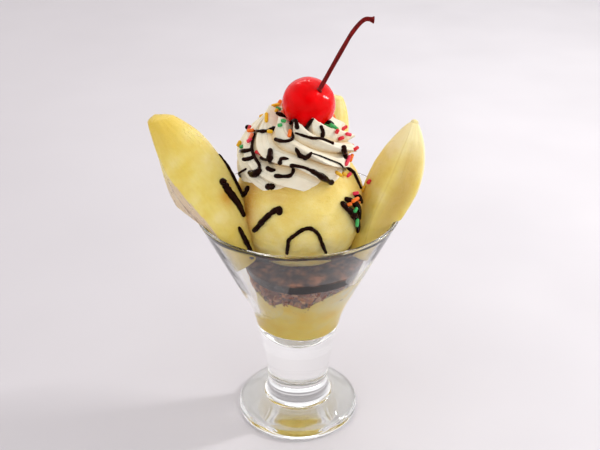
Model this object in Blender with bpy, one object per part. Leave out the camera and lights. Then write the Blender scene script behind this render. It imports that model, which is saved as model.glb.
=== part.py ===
"""A banana parfait in its footed glass, as one resting part.

Yellow custard, chocolate flakes and chocolate sauce lie in layers in a conical glass, and a ball of
vanilla ice cream sits in the sauce. Three pieces of banana lean on the rim. A piped swirl of whipped
cream crowns the ball, with a cherry on top, and chocolate drizzle and sugar strands lie over all.

Metres, +Z up. The origin is the middle of the foot's underside, and -Y is the front.
"""

import math
import random

import bmesh
import bpy
from mathutils import Matrix, Vector, noise

MM = 0.001
GAP = 0.3 * MM

# Glass
GLASS_HEIGHT = 109.0 * MM
RIM_RADIUS = 45.0 * MM
RIM_WALL = 2.8 * MM
CONE_FOOT_RADIUS = 23.1 * MM
CONE_FOOT_HEIGHT = 62.0 * MM
STEM_RADIUS = 14.6 * MM
STEM_HEIGHT = 20.0 * MM
COLLAR_RADIUS = 18.5 * MM
COLLAR_HEIGHT = 10.0 * MM
FOOT_RADIUS = 28.9 * MM
FOOT_EDGE = 3.6 * MM
BOWL_FLOOR = 39.5 * MM
GLASS_SIDES = 44
INNER_RINGS = 11

# Layers in the glass, by height of their upper faces
CUSTARD_TOP = 76.5 * MM
FLAKES_TOP = 84.5 * MM
FLAKES_BACK_RISE = 2.6 * MM
SAUCE_TOP = 92.0 * MM
LAYER_SIDES = 36
SLACK_SIDE = math.radians(205)
SLACK_DEPTH = 4.5 * MM

# Where flakes have sunk into the custard, as azimuth in degrees and depth in mm
SUNK_FLAKES = ((-117, 3.5), (-84, 4.2), (-40, 2.0), (35, 3.0), (140, 2.5))

# Ball of ice cream
BALL_CENTRE = Vector((0.8, 0.0, 110.5)) * MM
BALL_RADIUS = 28.6 * MM
BALL_RISE = 27.0 * MM
BALL_DROP = 23.5 * MM
BALL_SQUARENESS = 2.7
BALL_ROUGHNESS = 0.7 * MM
BALL_SIDES = 32
BALL_ROWS = 14

# Whipped cream, a rope wound upwards, whose narrowing is given in turns from its start
SWIRL_AXIS = Vector((0.3, 0.0, 0.0)) * MM
SWIRL_START = 129.0 * MM
SWIRL_RISE = 9.4 * MM
SWIRL_BASE = 125.5 * MM
SWIRL_LIP = 151.5 * MM
SWIRL_REACH = 18.8 * MM
SWIRL_TOP_REACH = 9.6 * MM
ROPE_RADIUS = 7.4 * MM
ROPE_FULLNESS = 2.2
NARROWING_START = 0.9
NARROWING_TURNS = 1.3
FOLDS = 13
FOLD_DEPTH = 2.5 * MM
FOLD_LEAN = 1.25
FOLD_SLANT = 0.75
SWIRL_SIDES = FOLDS * 5
SWIRL_ROWS = 14

# Cherry, with the stalk's middle line in mm
CHERRY_CENTRE = Vector((4.4, 0.0, 156.6)) * MM
CHERRY_RADIUS = 10.7 * MM
CHERRY_DIMPLE = 2.0 * MM
STALK_LINE = (
    (8.2, -4.1, 164.5),
    (17.3, -3.3, 179.6),
    (21.6, -2.7, 186.9),
    (25.8, -2.2, 191.3),
    (29.6, -2.0, 191.2),
)
STALK_RADIUS = 0.8 * MM

# Chocolate drizzle: each thread's radius in mm, then its places as azimuth in degrees and height in mm
SWIRL_THREADS = (
    (1.0, ((-158, 146), (-134, 149), (-116, 147.5), (-101, 147.5), (-94, 149.5))),
    (1.0, ((-93, 150), (-73, 148.5), (-61, 147.5), (-49, 145))),
    (0.9, ((-152, 146), (-145, 141), (-139, 138.5), (-129, 135.5))),
    (1.2, ((-111, 134.5), (-97, 135), (-90, 138), (-75, 136.5), (-65, 133.5), (-58, 131))),
    (1.1, ((-92, 145), (-87, 142), (-78, 142.5))),
    (0.8, ((-174, 139), (-147, 140.5), (-122, 140))),
)
BACK_THREADS = SWIRL_THREADS[:4]
BACK_TURN = 160
BALL_THREADS = (
    (1.5, ((-130, 108), (-122, 113.5), (-115, 117.5), (-106, 120))),
    (1.2, ((-100, 101), (-97, 107.5), (-88, 111.5), (-79, 113), (-73, 109.5), (-67, 101.5))),
    (2.3, ((-43, 121), (-38, 117), (-34, 112), (-30, 107))),
)

# Banana pieces, and the drizzle on the left one as share of its length and degrees round it
BANANA_SIDES = 16
BANANA_THREADS = (
    (1.7, ((0.48, 124), (0.38, 128), (0.30, 136), (0.22, 140))),
    (1.4, ((0.20, 114), (0.14, 117), (0.08, 120))),
)

# Sugar strands
STRAND_LENGTH = 4.0 * MM
STRAND_RADIUS = 0.75 * MM
STRAND_SEED = 7
SWIRL_STRANDS = 18
BALL_STRANDS = ((-46, 122.5), (-38, 119.5), (-33, 116), (-29, 111.5), (-40, 114.5))
BANANA_STRANDS = ((0.45, 150), (0.53, 118), (0.60, 158))


def clear_scene():
    """Removes what a new file starts with."""
    for item in list(bpy.data.objects):
        bpy.data.objects.remove(item, do_unlink=True)


def finish(name, colour, roughness, metallic=0.0, transmission=0.0):
    """A Principled material of one colour."""
    material = bpy.data.materials.new(name)
    material.use_nodes = True
    shader = material.node_tree.nodes["Principled BSDF"]
    shader.inputs["Base Color"].default_value = (*colour, 1.0)
    shader.inputs["Roughness"].default_value = roughness
    shader.inputs["Metallic"].default_value = metallic
    shader.inputs["Transmission Weight"].default_value = transmission
    return material


def add_object(name, mesh, material):
    """Links a mesh to the scene under a name, smooth but for its sharp edges."""
    mesh.name = name
    mesh.materials.append(material)
    mesh.shade_smooth()
    mesh.set_sharp_from_angle(angle=math.radians(40))
    item = bpy.data.objects.new(name, mesh)
    bpy.context.scene.collection.objects.link(item)
    return item


def body_from_rings(name, rings, material, hoop=False):
    """A closed body skinned over rings of points, where a ring of one point is a pole.

    A hoop's last ring meets its first one.
    """
    work = bmesh.new()
    rows = [[work.verts.new(point) for point in ring] for ring in rings]
    if hoop:
        rows.append(rows[0])
    for lower, upper in zip(rows, rows[1:]):
        count = max(len(lower), len(upper))
        for side in range(count):
            after = (side + 1) % count
            corners = [lower[side % len(lower)], lower[after % len(lower)]]
            corners += [upper[after % len(upper)], upper[side % len(upper)]]
            work.faces.new(list(dict.fromkeys(corners)))
    bmesh.ops.triangulate(work, faces=work.faces)
    bmesh.ops.recalc_face_normals(work, faces=work.faces)
    mesh = bpy.data.meshes.new(name)
    work.to_mesh(mesh)
    work.free()
    return add_object(name, mesh, material)


def smooth_path(points, steps):
    """Points along a Catmull-Rom curve through the given ones."""
    points = [Vector(point) for point in points]
    padded = [2 * points[0] - points[1], *points, 2 * points[-1] - points[-2]]
    path = []
    for index in range(1, len(padded) - 2):
        before, start, end, after = padded[index - 1:index + 3]
        for step in range(steps):
            t = step / steps
            bend = 2 * before - 5 * start + 4 * end - after
            twist = 3 * start - before - 3 * end + after
            path.append(0.5 * (2 * start + (end - before) * t + bend * t * t + twist * t * t * t))
    path.append(points[-1])
    return path


def turn(radius, azimuth, height, axis=Vector((0.0, 0.0, 0.0))):
    """A point at a radius and an azimuth round an upright axis."""
    return axis + Vector((radius * math.cos(azimuth), radius * math.sin(azimuth), height))


def azimuths(sides):
    """Even azimuths once round."""
    return [2 * math.pi * side / sides for side in range(sides)]


def boolean(target, operation, tools):
    """Joins or cuts the target with the tools, applies it and removes them."""
    group = bpy.data.collections.new(target.name + "_tools")
    bpy.context.scene.collection.children.link(group)
    for tool in tools:
        bpy.context.scene.collection.objects.unlink(tool)
        group.objects.link(tool)
    modifier = target.modifiers.new("tools", "BOOLEAN")
    modifier.operation = operation
    modifier.operand_type = "COLLECTION"
    modifier.collection = group
    modifier.solver = "EXACT"
    graph = bpy.context.evaluated_depsgraph_get()
    graph.update()
    result = bpy.data.meshes.new_from_object(target.evaluated_get(graph))
    target.modifiers.clear()
    target.data = result
    for tool in tools:
        bpy.data.objects.remove(tool, do_unlink=True)
    bpy.data.collections.remove(group)
    keep_main_body(target)


def keep_main_body(target):
    """Drops loose scraps and sealed hollows, and keeps the largest closed skin."""
    work = bmesh.new()
    work.from_mesh(target.data)
    bmesh.ops.remove_doubles(work, verts=work.verts, dist=0.002 * MM)
    bmesh.ops.dissolve_degenerate(work, edges=work.edges, dist=0.002 * MM)
    bmesh.ops.triangulate(work, faces=work.faces)
    unseen = set(work.verts)
    skins = []
    while unseen:
        skin = set()
        to_visit = [unseen.pop()]
        while to_visit:
            vertex = to_visit.pop()
            skin.add(vertex)
            for edge in vertex.link_edges:
                other = edge.other_vert(vertex)
                if other in unseen:
                    unseen.remove(other)
                    to_visit.append(other)
        skins.append(skin)
    skins.sort(key=len, reverse=True)
    for skin in skins[1:]:
        bmesh.ops.delete(work, geom=list(skin), context="VERTS")
    bmesh.ops.recalc_face_normals(work, faces=work.faces)
    work.to_mesh(target.data)
    work.free()
    target.data.shade_smooth()
    target.data.set_sharp_from_angle(angle=math.radians(40))


def outer_profile():
    """The glass's outer side as radius and height, from the underside's edge to the rim."""
    foot = [
        (FOOT_RADIUS - 1.2 * MM, 0.0),
        (FOOT_RADIUS - 0.2 * MM, 0.9 * MM),
        (FOOT_RADIUS, 2.2 * MM),
        (FOOT_RADIUS - 0.8 * MM, FOOT_EDGE),
        (FOOT_RADIUS - 5.0 * MM, FOOT_EDGE + 1.5 * MM),
    ]
    collar = [
        (COLLAR_RADIUS + 1.6 * MM, COLLAR_HEIGHT - 3.2 * MM),
        (COLLAR_RADIUS + 0.2 * MM, COLLAR_HEIGHT - 1.4 * MM),
        (COLLAR_RADIUS - 0.3 * MM, COLLAR_HEIGHT + 1.0 * MM),
        (COLLAR_RADIUS - 2.0 * MM, COLLAR_HEIGHT + 3.4 * MM),
        (STEM_RADIUS + 0.3 * MM, STEM_HEIGHT - 3.0 * MM),
    ]
    stem = [
        (STEM_RADIUS, STEM_HEIGHT),
        (STEM_RADIUS + 1.7 * MM, STEM_HEIGHT + 13.0 * MM),
        (STEM_RADIUS + 2.5 * MM, STEM_HEIGHT + 20.0 * MM),
        (STEM_RADIUS + 4.2 * MM, STEM_HEIGHT + 27.0 * MM),
        (CONE_FOOT_RADIUS - 2.6 * MM, CONE_FOOT_HEIGHT - 7.0 * MM),
        (CONE_FOOT_RADIUS, CONE_FOOT_HEIGHT),
    ]
    rim = [
        (RIM_RADIUS - 0.4 * MM, GLASS_HEIGHT - 1.1 * MM),
        (RIM_RADIUS - 0.5 * MM, GLASS_HEIGHT - 0.3 * MM),
        (RIM_RADIUS - 1.0 * MM, GLASS_HEIGHT),
    ]
    return foot + collar + stem + rim


def cone_radius(height):
    """The outer radius of the bowl's straight cone at a height."""
    share = (height - CONE_FOOT_HEIGHT) / (GLASS_HEIGHT - CONE_FOOT_HEIGHT)
    return CONE_FOOT_RADIUS + (RIM_RADIUS - CONE_FOOT_RADIUS) * share


def inner_radius(height):
    """The bowl's inner radius at a height: a cone over a rounded bottom."""
    if height >= CONE_FOOT_HEIGHT:
        return cone_radius(height) - RIM_WALL
    rounding = ((CONE_FOOT_HEIGHT - height) / (CONE_FOOT_HEIGHT - BOWL_FLOOR)) ** 3.2
    taper = 0.62 * (CONE_FOOT_RADIUS - cone_radius(height))
    return (CONE_FOOT_RADIUS - RIM_WALL - taper) * max(0.0, 1 - rounding) ** 0.5


def bowl_heights(low, high, count):
    """Heights from low to high, packed closer near the rounded bottom."""
    return [low + (high - low) * (step / count) ** 1.7 for step in range(count + 1)]


WALL_HEIGHTS = bowl_heights(BOWL_FLOOR + 0.15 * MM, GLASS_HEIGHT - 0.7 * MM, INNER_RINGS)


def wall_radius(height):
    """The free radius at a height inside the faceted wall, which stands a little inside the smooth one."""
    flats = math.cos(math.pi / GLASS_SIDES)
    for low, high in zip(WALL_HEIGHTS, WALL_HEIGHTS[1:]):
        if height <= high:
            share = (height - low) / (high - low)
            return flats * ((1 - share) * inner_radius(low) + share * inner_radius(high))
    return flats * inner_radius(height)


def build_glass():
    """The thick-footed conical glass, turned round its axis."""
    clear_glass = finish("clear_glass", (0.93, 0.94, 0.95), 0.02, transmission=1.0)
    profile = outer_profile()
    profile.append((RIM_RADIUS - RIM_WALL + 0.6 * MM, GLASS_HEIGHT))
    for height in reversed(WALL_HEIGHTS):
        profile.append((inner_radius(height), height))
    rings = [[Vector((0.0, 0.0, 0.0))]]
    for radius, height in profile:
        rings.append([turn(radius, azimuth, height) for azimuth in azimuths(GLASS_SIDES)])
    rings.append([Vector((0.0, 0.0, BOWL_FLOOR))])
    return body_from_rings("glass", rings, clear_glass)


def build_wall_cutter():
    """The bowl's wall and rim, a gap larger, which notches a piece of fruit that leans on it."""
    low, high = 70 * MM, GLASS_HEIGHT + GAP
    profile = [
        (inner_radius(low) - GAP, low),
        (inner_radius(GLASS_HEIGHT) - GAP, high),
        (RIM_RADIUS + GAP, high),
        (cone_radius(low) + GAP, low),
    ]
    turns = azimuths(2 * GLASS_SIDES)
    rings = [[turn(radius, azimuth, height) for azimuth in turns] for radius, height in profile]
    return body_from_rings("wall_cutter", rings, finish("cutter", (0.5, 0.5, 0.5), 0.5), hoop=True)


def slack(azimuth, height):
    """How far the contents stand off the wall, on the side where air shows behind the glass."""
    around = math.cos((azimuth - SLACK_SIDE) / 2) ** 12
    rise = min(1.0, max(0.0, (height - BOWL_FLOOR) / (16 * MM)))
    return GAP + SLACK_DEPTH * around * rise


def wave(azimuth, radius, seed):
    """A gentle uneven level, for the face between two layers."""
    point = Vector((radius * math.cos(azimuth), radius * math.sin(azimuth), seed * MM))
    return noise.noise(point / (9 * MM))


def custard_level(azimuth, radius):
    """The face between custard and flakes, with places where flakes have sunk deeper."""
    level = CUSTARD_TOP + 1.3 * MM * wave(azimuth, radius, 10)
    for place, depth in SUNK_FLAKES:
        away = (math.degrees(azimuth) - place + 180) % 360 - 180
        level -= depth * MM * math.exp(-(away / 9) ** 2) * min(1.0, radius / (18 * MM))
    return level


def flakes_level(azimuth, radius):
    """The face between flakes and sauce, which rises away from the front."""
    back = 0.5 - 0.5 * math.cos(azimuth + math.pi / 2)
    return FLAKES_TOP + FLAKES_BACK_RISE * back + 0.5 * MM * wave(azimuth, radius, 20)


def sauce_level(azimuth, radius):
    """The sauce's upper face."""
    return SAUCE_TOP + 0.7 * MM * wave(azimuth, radius, 30)


def edge_radius(azimuth, height):
    """Where a layer's side stands at a height."""
    return wall_radius(height) - slack(azimuth, height)


def settle_edge(azimuth, level):
    """Radius and height at which a layer's face meets its side."""
    height = level(azimuth, 20 * MM)
    for _ in range(3):
        radius = edge_radius(azimuth, height)
        height = level(azimuth, radius)
    return edge_radius(azimuth, height), height


def face_rings(level, shift, shares):
    """Rings over a layer's face, at shares of the way from its middle to its side."""
    rings = []
    for share in shares:
        ring = []
        for azimuth in azimuths(LAYER_SIDES):
            edge, height = settle_edge(azimuth, level)
            radius = edge * share
            rise = height if share == 1.0 else level(azimuth, radius)
            ring.append(turn(radius, azimuth, rise + shift))
        rings.append(ring)
    return rings


def build_custard():
    """The yellow custard that fills the bowl's rounded bottom."""
    yellow = finish("custard_yellow", (0.83, 0.70, 0.33), 0.45)
    low = BOWL_FLOOR + 1.5 * GAP
    rings = [[Vector((0.0, 0.0, low))]]
    turns = azimuths(LAYER_SIDES)
    for height in bowl_heights(low + 0.4 * MM, CUSTARD_TOP - 7 * MM, 8):
        rings.append([turn(edge_radius(azimuth, height), azimuth, height) for azimuth in turns])
    rings += reversed(face_rings(custard_level, 0.0, (0.5, 1.0)))
    rings.append([Vector((0.0, 0.0, custard_level(0.0, 0.0)))])
    return body_from_rings("custard", rings, yellow)


def build_layer(name, material, lower, upper):
    """A layer between two uneven faces, out to the glass."""
    rings = [[Vector((0.0, 0.0, lower(0.0, 0.0) + GAP))]]
    rings += face_rings(lower, GAP, (0.5, 1.0))
    rings += reversed(face_rings(upper, 0.0, (0.5, 1.0)))
    rings.append([Vector((0.0, 0.0, upper(0.0, 0.0)))])
    return body_from_rings(name, rings, material)


def ball_point(azimuth, rise, grow=0.0):
    """A point of the ball's skin, where rise runs from -90 degrees below to 90 above."""
    drop = BALL_RISE if rise > 0 else BALL_DROP
    power = 2.0 if rise > 0 else BALL_SQUARENESS
    across = abs(math.cos(rise)) ** (2 / power)
    upward = abs(math.sin(rise)) ** (2 / power) * (1 if rise > 0 else -1)
    direction = Vector((across * math.cos(azimuth), across * math.sin(azimuth), upward))
    uneven = BALL_ROUGHNESS * noise.noise(direction * 3.1 + Vector((4.0, 0.0, 0.0)))
    wide = BALL_RADIUS + uneven + grow
    tall = drop + uneven + grow
    return BALL_CENTRE + Vector((direction.x * wide, direction.y * wide, direction.z * tall))


def ball_at(azimuth, height):
    """A point of the ball's skin at a height."""
    if height > BALL_CENTRE.z:
        return ball_point(azimuth, math.asin(min(1.0, (height - BALL_CENTRE.z) / BALL_RISE)))
    return ball_point(azimuth, -math.asin(((BALL_CENTRE.z - height) / BALL_DROP) ** (BALL_SQUARENESS / 2)))


def build_ball(name, grow=0.0):
    """The ball of vanilla ice cream, squat below where it has settled in the sauce."""
    vanilla = finish("vanilla_ice_cream", (0.87, 0.76, 0.45), 0.5)
    rings = [[ball_point(0.0, -math.pi / 2, grow)]]
    for row in range(1, BALL_ROWS):
        rise = math.pi * (row / BALL_ROWS - 0.5)
        rings.append([ball_point(azimuth, rise, grow) for azimuth in azimuths(BALL_SIDES)])
    rings.append([ball_point(0.0, math.pi / 2, grow)])
    return body_from_rings(name, rings, vanilla)


class Banana:
    """A length of peeled banana, cut slantwise along one side."""

    def __init__(self, name, spine, facing, girth, flat, tip, foot):
        """Spine points in mm, the cut face's direction, and radii in mm."""
        self.name = name
        self.spine = smooth_path([Vector(point) * MM for point in spine], 8)
        self.facing = Vector(facing).normalized()
        self.girth = girth * MM
        self.flat = flat
        self.tip = tip
        self.foot = foot

    def frame(self, along):
        """Centre, direction, cut side and cross side at a share of the length."""
        place = along * (len(self.spine) - 1)
        index = min(int(place), len(self.spine) - 2)
        centre = self.spine[index].lerp(self.spine[index + 1], place - index)
        before = self.spine[max(index - 2, 0)]
        after = self.spine[min(index + 3, len(self.spine) - 1)]
        direction = (after - before).normalized()
        cut_side = (self.facing - direction * self.facing.dot(direction)).normalized()
        return centre, direction, cut_side, direction.cross(cut_side)

    def radius(self, along):
        """The radius at a share of the length: full in the middle and slim at the ends."""
        low = self.foot + (1 - self.foot) * math.sin(min(1.0, along / 0.5) * math.pi / 2)
        high = self.tip + (1 - self.tip) * math.cos(max(0.0, (along - 0.45) / 0.55) * math.pi / 2) ** 0.8
        return self.girth * min(low, high)

    def point(self, along, around, grow=0.0):
        """A point of the skin: around is 0 in the middle of the cut face."""
        centre, _, cut_side, cross_side = self.frame(along)
        radius = self.radius(along)
        facet = math.radians(72)
        offset = (around - math.pi) - facet * round((around - math.pi) / facet)
        pentagon = math.cos(facet / 2) / math.cos(offset)
        reach = radius * (0.55 + 0.5 * pentagon)
        cut = radius * self.flat * (1 - 0.35 * max(0.0, along - 0.5))
        if math.cos(around) > 0.01:
            reach = min(reach, cut / math.cos(around))
        reach += grow
        return centre + cut_side * (reach * math.cos(around)) + cross_side * (reach * math.sin(around))

    def rings(self, grow):
        """Rings from the foot to the tip, with rounded ends."""
        stations = [0.0, 0.02, 0.08, 0.17, 0.27, 0.38, 0.5, 0.62, 0.73, 0.83, 0.91, 0.97, 1.0]
        turns = azimuths(BANANA_SIDES)
        rings = []
        for station in stations:
            ring = [self.point(station, around, grow) for around in turns]
            if station in (0.0, 1.0):
                centre = self.frame(station)[0]
                ring = [centre.lerp(point, 0.72) for point in ring]
            rings.append(ring)
        start, direction = self.frame(0.0)[:2]
        end, end_direction = self.frame(1.0)[:2]
        rings.insert(0, [start - direction * (1.0 * MM + grow)])
        rings.append([end + end_direction * (1.2 * MM + grow)])
        return rings

    def build(self, suffix="", grow=0.0):
        """The piece as a closed body."""
        flesh = finish("banana_flesh", (0.84, 0.70, 0.36), 0.42)
        return body_from_rings(self.name + suffix, self.rings(grow), flesh)


BANANA_LEFT = Banana(
    "banana_left",
    spine=((-21, -19, 90), (-32, -14, 108), (-41, -8, 121), (-50, -3, 136), (-59, 0, 150)),
    facing=(-0.80, -0.42, -0.42), girth=13.2, flat=0.66, tip=0.48, foot=0.34,
)
BANANA_RIGHT = Banana(
    "banana_right",
    spine=((30, -12, 93), (35, -7, 108), (41.5, -3, 123), (46, 1, 135), (49, 4, 146)),
    facing=(0.50, 0.80, -0.25), girth=11.2, flat=0.62, tip=0.08, foot=0.42,
)
BANANA_BACK = Banana(
    "banana_back",
    spine=((6, 24, 93), (9.5, 32.5, 109), (12.5, 36, 122), (15.5, 38, 135), (18, 38.5, 146)),
    facing=(0.2, 0.95, -0.3), girth=9.8, flat=0.62, tip=0.20, foot=0.45,
)
BANANAS = (BANANA_LEFT, BANANA_RIGHT, BANANA_BACK)


def rope_crest(azimuth, height):
    """Radius of the piped rope's outer side at an azimuth and height, and how far up the rope that is."""
    around = ((azimuth - math.pi / 2) / (2 * math.pi)) % 1.0
    best = (0.0, 0.0)
    for turn_number in range(-1, 3):
        wound = turn_number + around
        middle = SWIRL_START + SWIRL_RISE * wound
        lift = (height - middle) / ROPE_RADIUS
        if abs(lift) < 1.0:
            shrink = min(1.0, max(0.0, (wound - NARROWING_START) / NARROWING_TURNS))
            reach = SWIRL_REACH + (SWIRL_TOP_REACH - SWIRL_REACH) * shrink * shrink * (3 - 2 * shrink)
            bulge = ROPE_RADIUS * (1 - abs(lift) ** ROPE_FULLNESS) ** 0.5
            best = max(best, (reach + bulge, lift))
    return best


def swirl_radius(azimuth, height):
    """The cream's radius, with leaning folds pressed into the rope by a star nozzle."""
    crest, lift = rope_crest(azimuth, height)
    turns = (FOLDS * azimuth + FOLD_LEAN * math.pi * lift) / (2 * math.pi)
    share = turns % 1.0
    fold = math.sin(math.pi * share ** FOLD_SLANT)
    return crest - FOLD_DEPTH * (1 - fold) * (1 - 0.3 * abs(lift))


def swirl_point(azimuth, height):
    """A point of the cream's skin."""
    return turn(swirl_radius(azimuth, height), azimuth, height, SWIRL_AXIS)


def ball_top(radius):
    """Height of the ball's crown at a radius from its axis."""
    share = min(1.0, radius / BALL_RADIUS)
    return BALL_CENTRE.z + BALL_RISE * math.sqrt(1 - share * share)


def build_cream():
    """The piped swirl, hollowed below by the ball and above by the cherry."""
    white = finish("whipped_cream", (0.93, 0.89, 0.80), 0.5)
    turns = azimuths(SWIRL_SIDES)
    rings = [[Vector((SWIRL_AXIS.x, 0.0, ball_top(0.0) - 3 * MM))]]
    for row in range(SWIRL_ROWS + 1):
        height = SWIRL_BASE + (SWIRL_LIP - SWIRL_BASE) * row / SWIRL_ROWS
        rings.append([swirl_point(azimuth, height) for azimuth in turns])
    for share, rise in ((0.8, 1.0), (0.5, 0.6)):
        height = SWIRL_LIP + rise * MM
        rings.append([
            turn(swirl_radius(azimuth, SWIRL_LIP) * share, azimuth, height, SWIRL_AXIS) for azimuth in turns
        ])
    rings.append([Vector((SWIRL_AXIS.x, 0.0, SWIRL_LIP))])
    return body_from_rings("whipped_cream", rings, white)


def cherry_rings(grow):
    """Rings of a slightly flattened cherry with a dimple where its stalk stands."""
    axis = (Vector(STALK_LINE[0]) * MM - CHERRY_CENTRE).normalized()
    tilt = Vector((0.0, 0.0, 1.0)).rotation_difference(axis).to_matrix()
    rings = []
    rows, sides = 11, 20
    for row in range(rows + 1):
        rise = math.pi * (0.5 - row / rows)
        dimple = 0.0 if grow else CHERRY_DIMPLE * math.exp(-((math.pi / 2 - rise) / 0.4) ** 2)
        radius = (CHERRY_RADIUS + grow) * math.cos(rise)
        height = (CHERRY_RADIUS * 0.97 + grow) * math.sin(rise) - dimple
        count = 1 if row in (0, rows) else sides
        rings.append([CHERRY_CENTRE + tilt @ turn(radius, azimuth, height) for azimuth in azimuths(count)])
    return rings


def build_cherry(name, grow=0.0):
    """The candied cherry."""
    red = finish("candied_cherry", (0.72, 0.01, 0.02), 0.15)
    return body_from_rings(name, cherry_rings(grow), red)


def tube_rings(points, radius_at, sides):
    """Rings of a round tube along points, closed by a pole at each end."""
    rings = []
    last = len(points) - 1
    side = (points[1] - points[0]).orthogonal()
    for index, point in enumerate(points):
        direction = (points[min(index + 1, last)] - points[max(index - 1, 0)]).normalized()
        side = (side - direction * side.dot(direction)).normalized()
        across = direction.cross(side)
        radius = radius_at(index / last)
        spokes = [side * math.cos(around) + across * math.sin(around) for around in azimuths(sides)]
        rings.append([point + radius * spoke for spoke in spokes])
    first_way = (points[0] - points[1]).normalized()
    last_way = (points[-1] - points[-2]).normalized()
    rings.insert(0, [points[0] + first_way * radius_at(0.0) * 0.7])
    rings.append([points[-1] + last_way * radius_at(1.0) * 0.7])
    return rings


def stalk_radius(along):
    """The stalk's radius, flared at its foot and knobbed at its tip."""
    return STALK_RADIUS * (1 + 0.7 * math.exp(-along / 0.06) + 0.55 * math.exp(-((1 - along) / 0.05) ** 2))


def build_stalk():
    """The cherry's stalk, which stands clear in the cherry's dimple."""
    brown = finish("cherry_stalk", (0.16, 0.03, 0.03), 0.4)
    points = smooth_path([Vector(point) * MM for point in STALK_LINE], 3)
    return body_from_rings("cherry_stalk", tube_rings(points, stalk_radius, 6), brown)


def build_thread(points, radius, number, steps=1, grow=0.0):
    """A thread of drizzle along points, slimmer at its ends."""
    dark = finish("drizzle", (0.03, 0.015, 0.012), 0.2)

    def radius_at(along):
        return radius * MM * (0.62 + 0.38 * math.sin(math.pi * along) ** 0.5) + grow

    rings = tube_rings(smooth_path(points, steps), radius_at, 6)
    return body_from_rings(f"thread_{number}", rings, dark)


def thread_place(azimuth, height):
    """Where a thread lies on the cream: across the folds, a little sunk into their crests."""
    radius = rope_crest(azimuth, height)[0] - 0.35 * FOLD_DEPTH
    return turn(radius, azimuth, height, SWIRL_AXIS)


def build_swirl_threads():
    """The drizzle over the cream, with some of it repeated round the back."""
    threads = []
    for shift, group in ((0, SWIRL_THREADS), (BACK_TURN, BACK_THREADS)):
        for radius, places in group:
            points = [thread_place(math.radians(place + shift), height * MM) for place, height in places]
            threads.append(build_thread(points, radius, len(threads)))
    return threads


def build_ball_threads():
    """The drizzle on the ball: a dash, an arch and a pool beside the right banana."""
    threads = []
    for radius, places in BALL_THREADS:
        points = [ball_at(math.radians(place), height * MM) for place, height in places]
        threads.append(build_thread(points, radius, len(threads), steps=2))
    return threads


def build_banana_threads(grow=0.0):
    """The drizzle on the left banana."""
    threads = []
    for radius, places in BANANA_THREADS:
        points = [BANANA_LEFT.point(along, math.radians(around)) for along, around in places]
        threads.append(build_thread(points, radius, len(threads), grow=grow))
    return threads


def build_strand(centre, outward, draw, number):
    """A sugar strand that lies on a surface, turned by a seeded draw."""
    sugar = finish("sugar_strand", (0.9, 0.3, 0.2), 0.35)
    side = outward.orthogonal().normalized()
    side.rotate(Matrix.Rotation(draw.uniform(0, math.pi), 3, outward))
    half = side * (STRAND_LENGTH / 2 - STRAND_RADIUS)
    rings = tube_rings([centre - half, centre + half], lambda along: STRAND_RADIUS, 6)
    return body_from_rings(f"strand_{number}", rings, sugar)


def build_swirl_strands():
    """Strands spread by the golden angle over the upper two thirds of the cream."""
    draw = random.Random(STRAND_SEED)
    strands = []
    for number in range(SWIRL_STRANDS):
        azimuth = number * math.pi * (3 - math.sqrt(5)) + draw.uniform(-0.2, 0.2)
        height = SWIRL_START + (SWIRL_LIP - SWIRL_START) * (0.12 + 0.8 * (number + 0.5) / SWIRL_STRANDS)
        centre = swirl_point(azimuth, height)
        outward = turn(1.0, azimuth, 0.35).normalized()
        strands.append(build_strand(centre + outward * 0.3 * MM, outward, draw, number))
    return strands


def build_ball_strands():
    """Strands caught in the pool of drizzle on the ball."""
    draw = random.Random(STRAND_SEED + 1)
    strands = []
    for number, (place, height) in enumerate(BALL_STRANDS):
        point = ball_at(math.radians(place), height * MM)
        outward = (point - BALL_CENTRE).normalized()
        strands.append(build_strand(point + outward * 1.6 * MM, outward, draw, number))
    return strands


def build_banana_strands():
    """Strands on the right banana's near side."""
    draw = random.Random(STRAND_SEED + 2)
    strands = []
    for number, (along, around) in enumerate(BANANA_STRANDS):
        point = BANANA_RIGHT.point(along, math.radians(around))
        outward = (point - BANANA_RIGHT.frame(along)[0]).normalized()
        strands.append(build_strand(point + outward * 0.3 * MM, outward, draw, number))
    return strands


def build_fruit():
    """The three banana pieces, dressed and notched by the glass they lean on."""
    pieces = [banana.build() for banana in BANANAS]
    boolean(pieces[0], "UNION", build_banana_threads())
    boolean(pieces[1], "UNION", build_banana_strands())
    for piece in pieces:
        boolean(piece, "DIFFERENCE", [build_wall_cutter()])


def fruit_cutters():
    """The banana pieces and their drizzle, a gap larger."""
    cutters = [banana.build("_cutter", GAP) for banana in BANANAS]
    return cutters + build_banana_threads(GAP)


def main():
    """Builds the parfait."""
    clear_scene()
    build_glass()
    build_cherry("cherry")
    build_stalk()
    build_fruit()
    build_custard()
    crumbs = finish("chocolate_flakes", (0.10, 0.055, 0.045), 0.6)
    flakes = build_layer("chocolate_flakes", crumbs, custard_level, flakes_level)
    boolean(flakes, "DIFFERENCE", [build_ball("ball_cutter", GAP), *fruit_cutters()])
    syrup = finish("chocolate_sauce", (0.03, 0.015, 0.012), 0.2)
    sauce = build_layer("chocolate_sauce", syrup, flakes_level, sauce_level)
    boolean(sauce, "DIFFERENCE", [build_ball("ball_cutter", GAP), *fruit_cutters()])
    ball = build_ball("ice_cream_ball")
    boolean(ball, "UNION", build_ball_threads() + build_ball_strands())
    boolean(ball, "DIFFERENCE", fruit_cutters())
    cream = build_cream()
    boolean(cream, "UNION", build_swirl_threads() + build_swirl_strands())
    boolean(cream, "DIFFERENCE", [build_ball("ball_cutter", GAP), build_cherry("cherry_cutter", GAP)])


main()
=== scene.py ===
"""The looks of a banana parfait in its footed glass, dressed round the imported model.

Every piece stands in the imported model's own frame: metres, +Z up, -Y towards the camera.
"""

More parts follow.
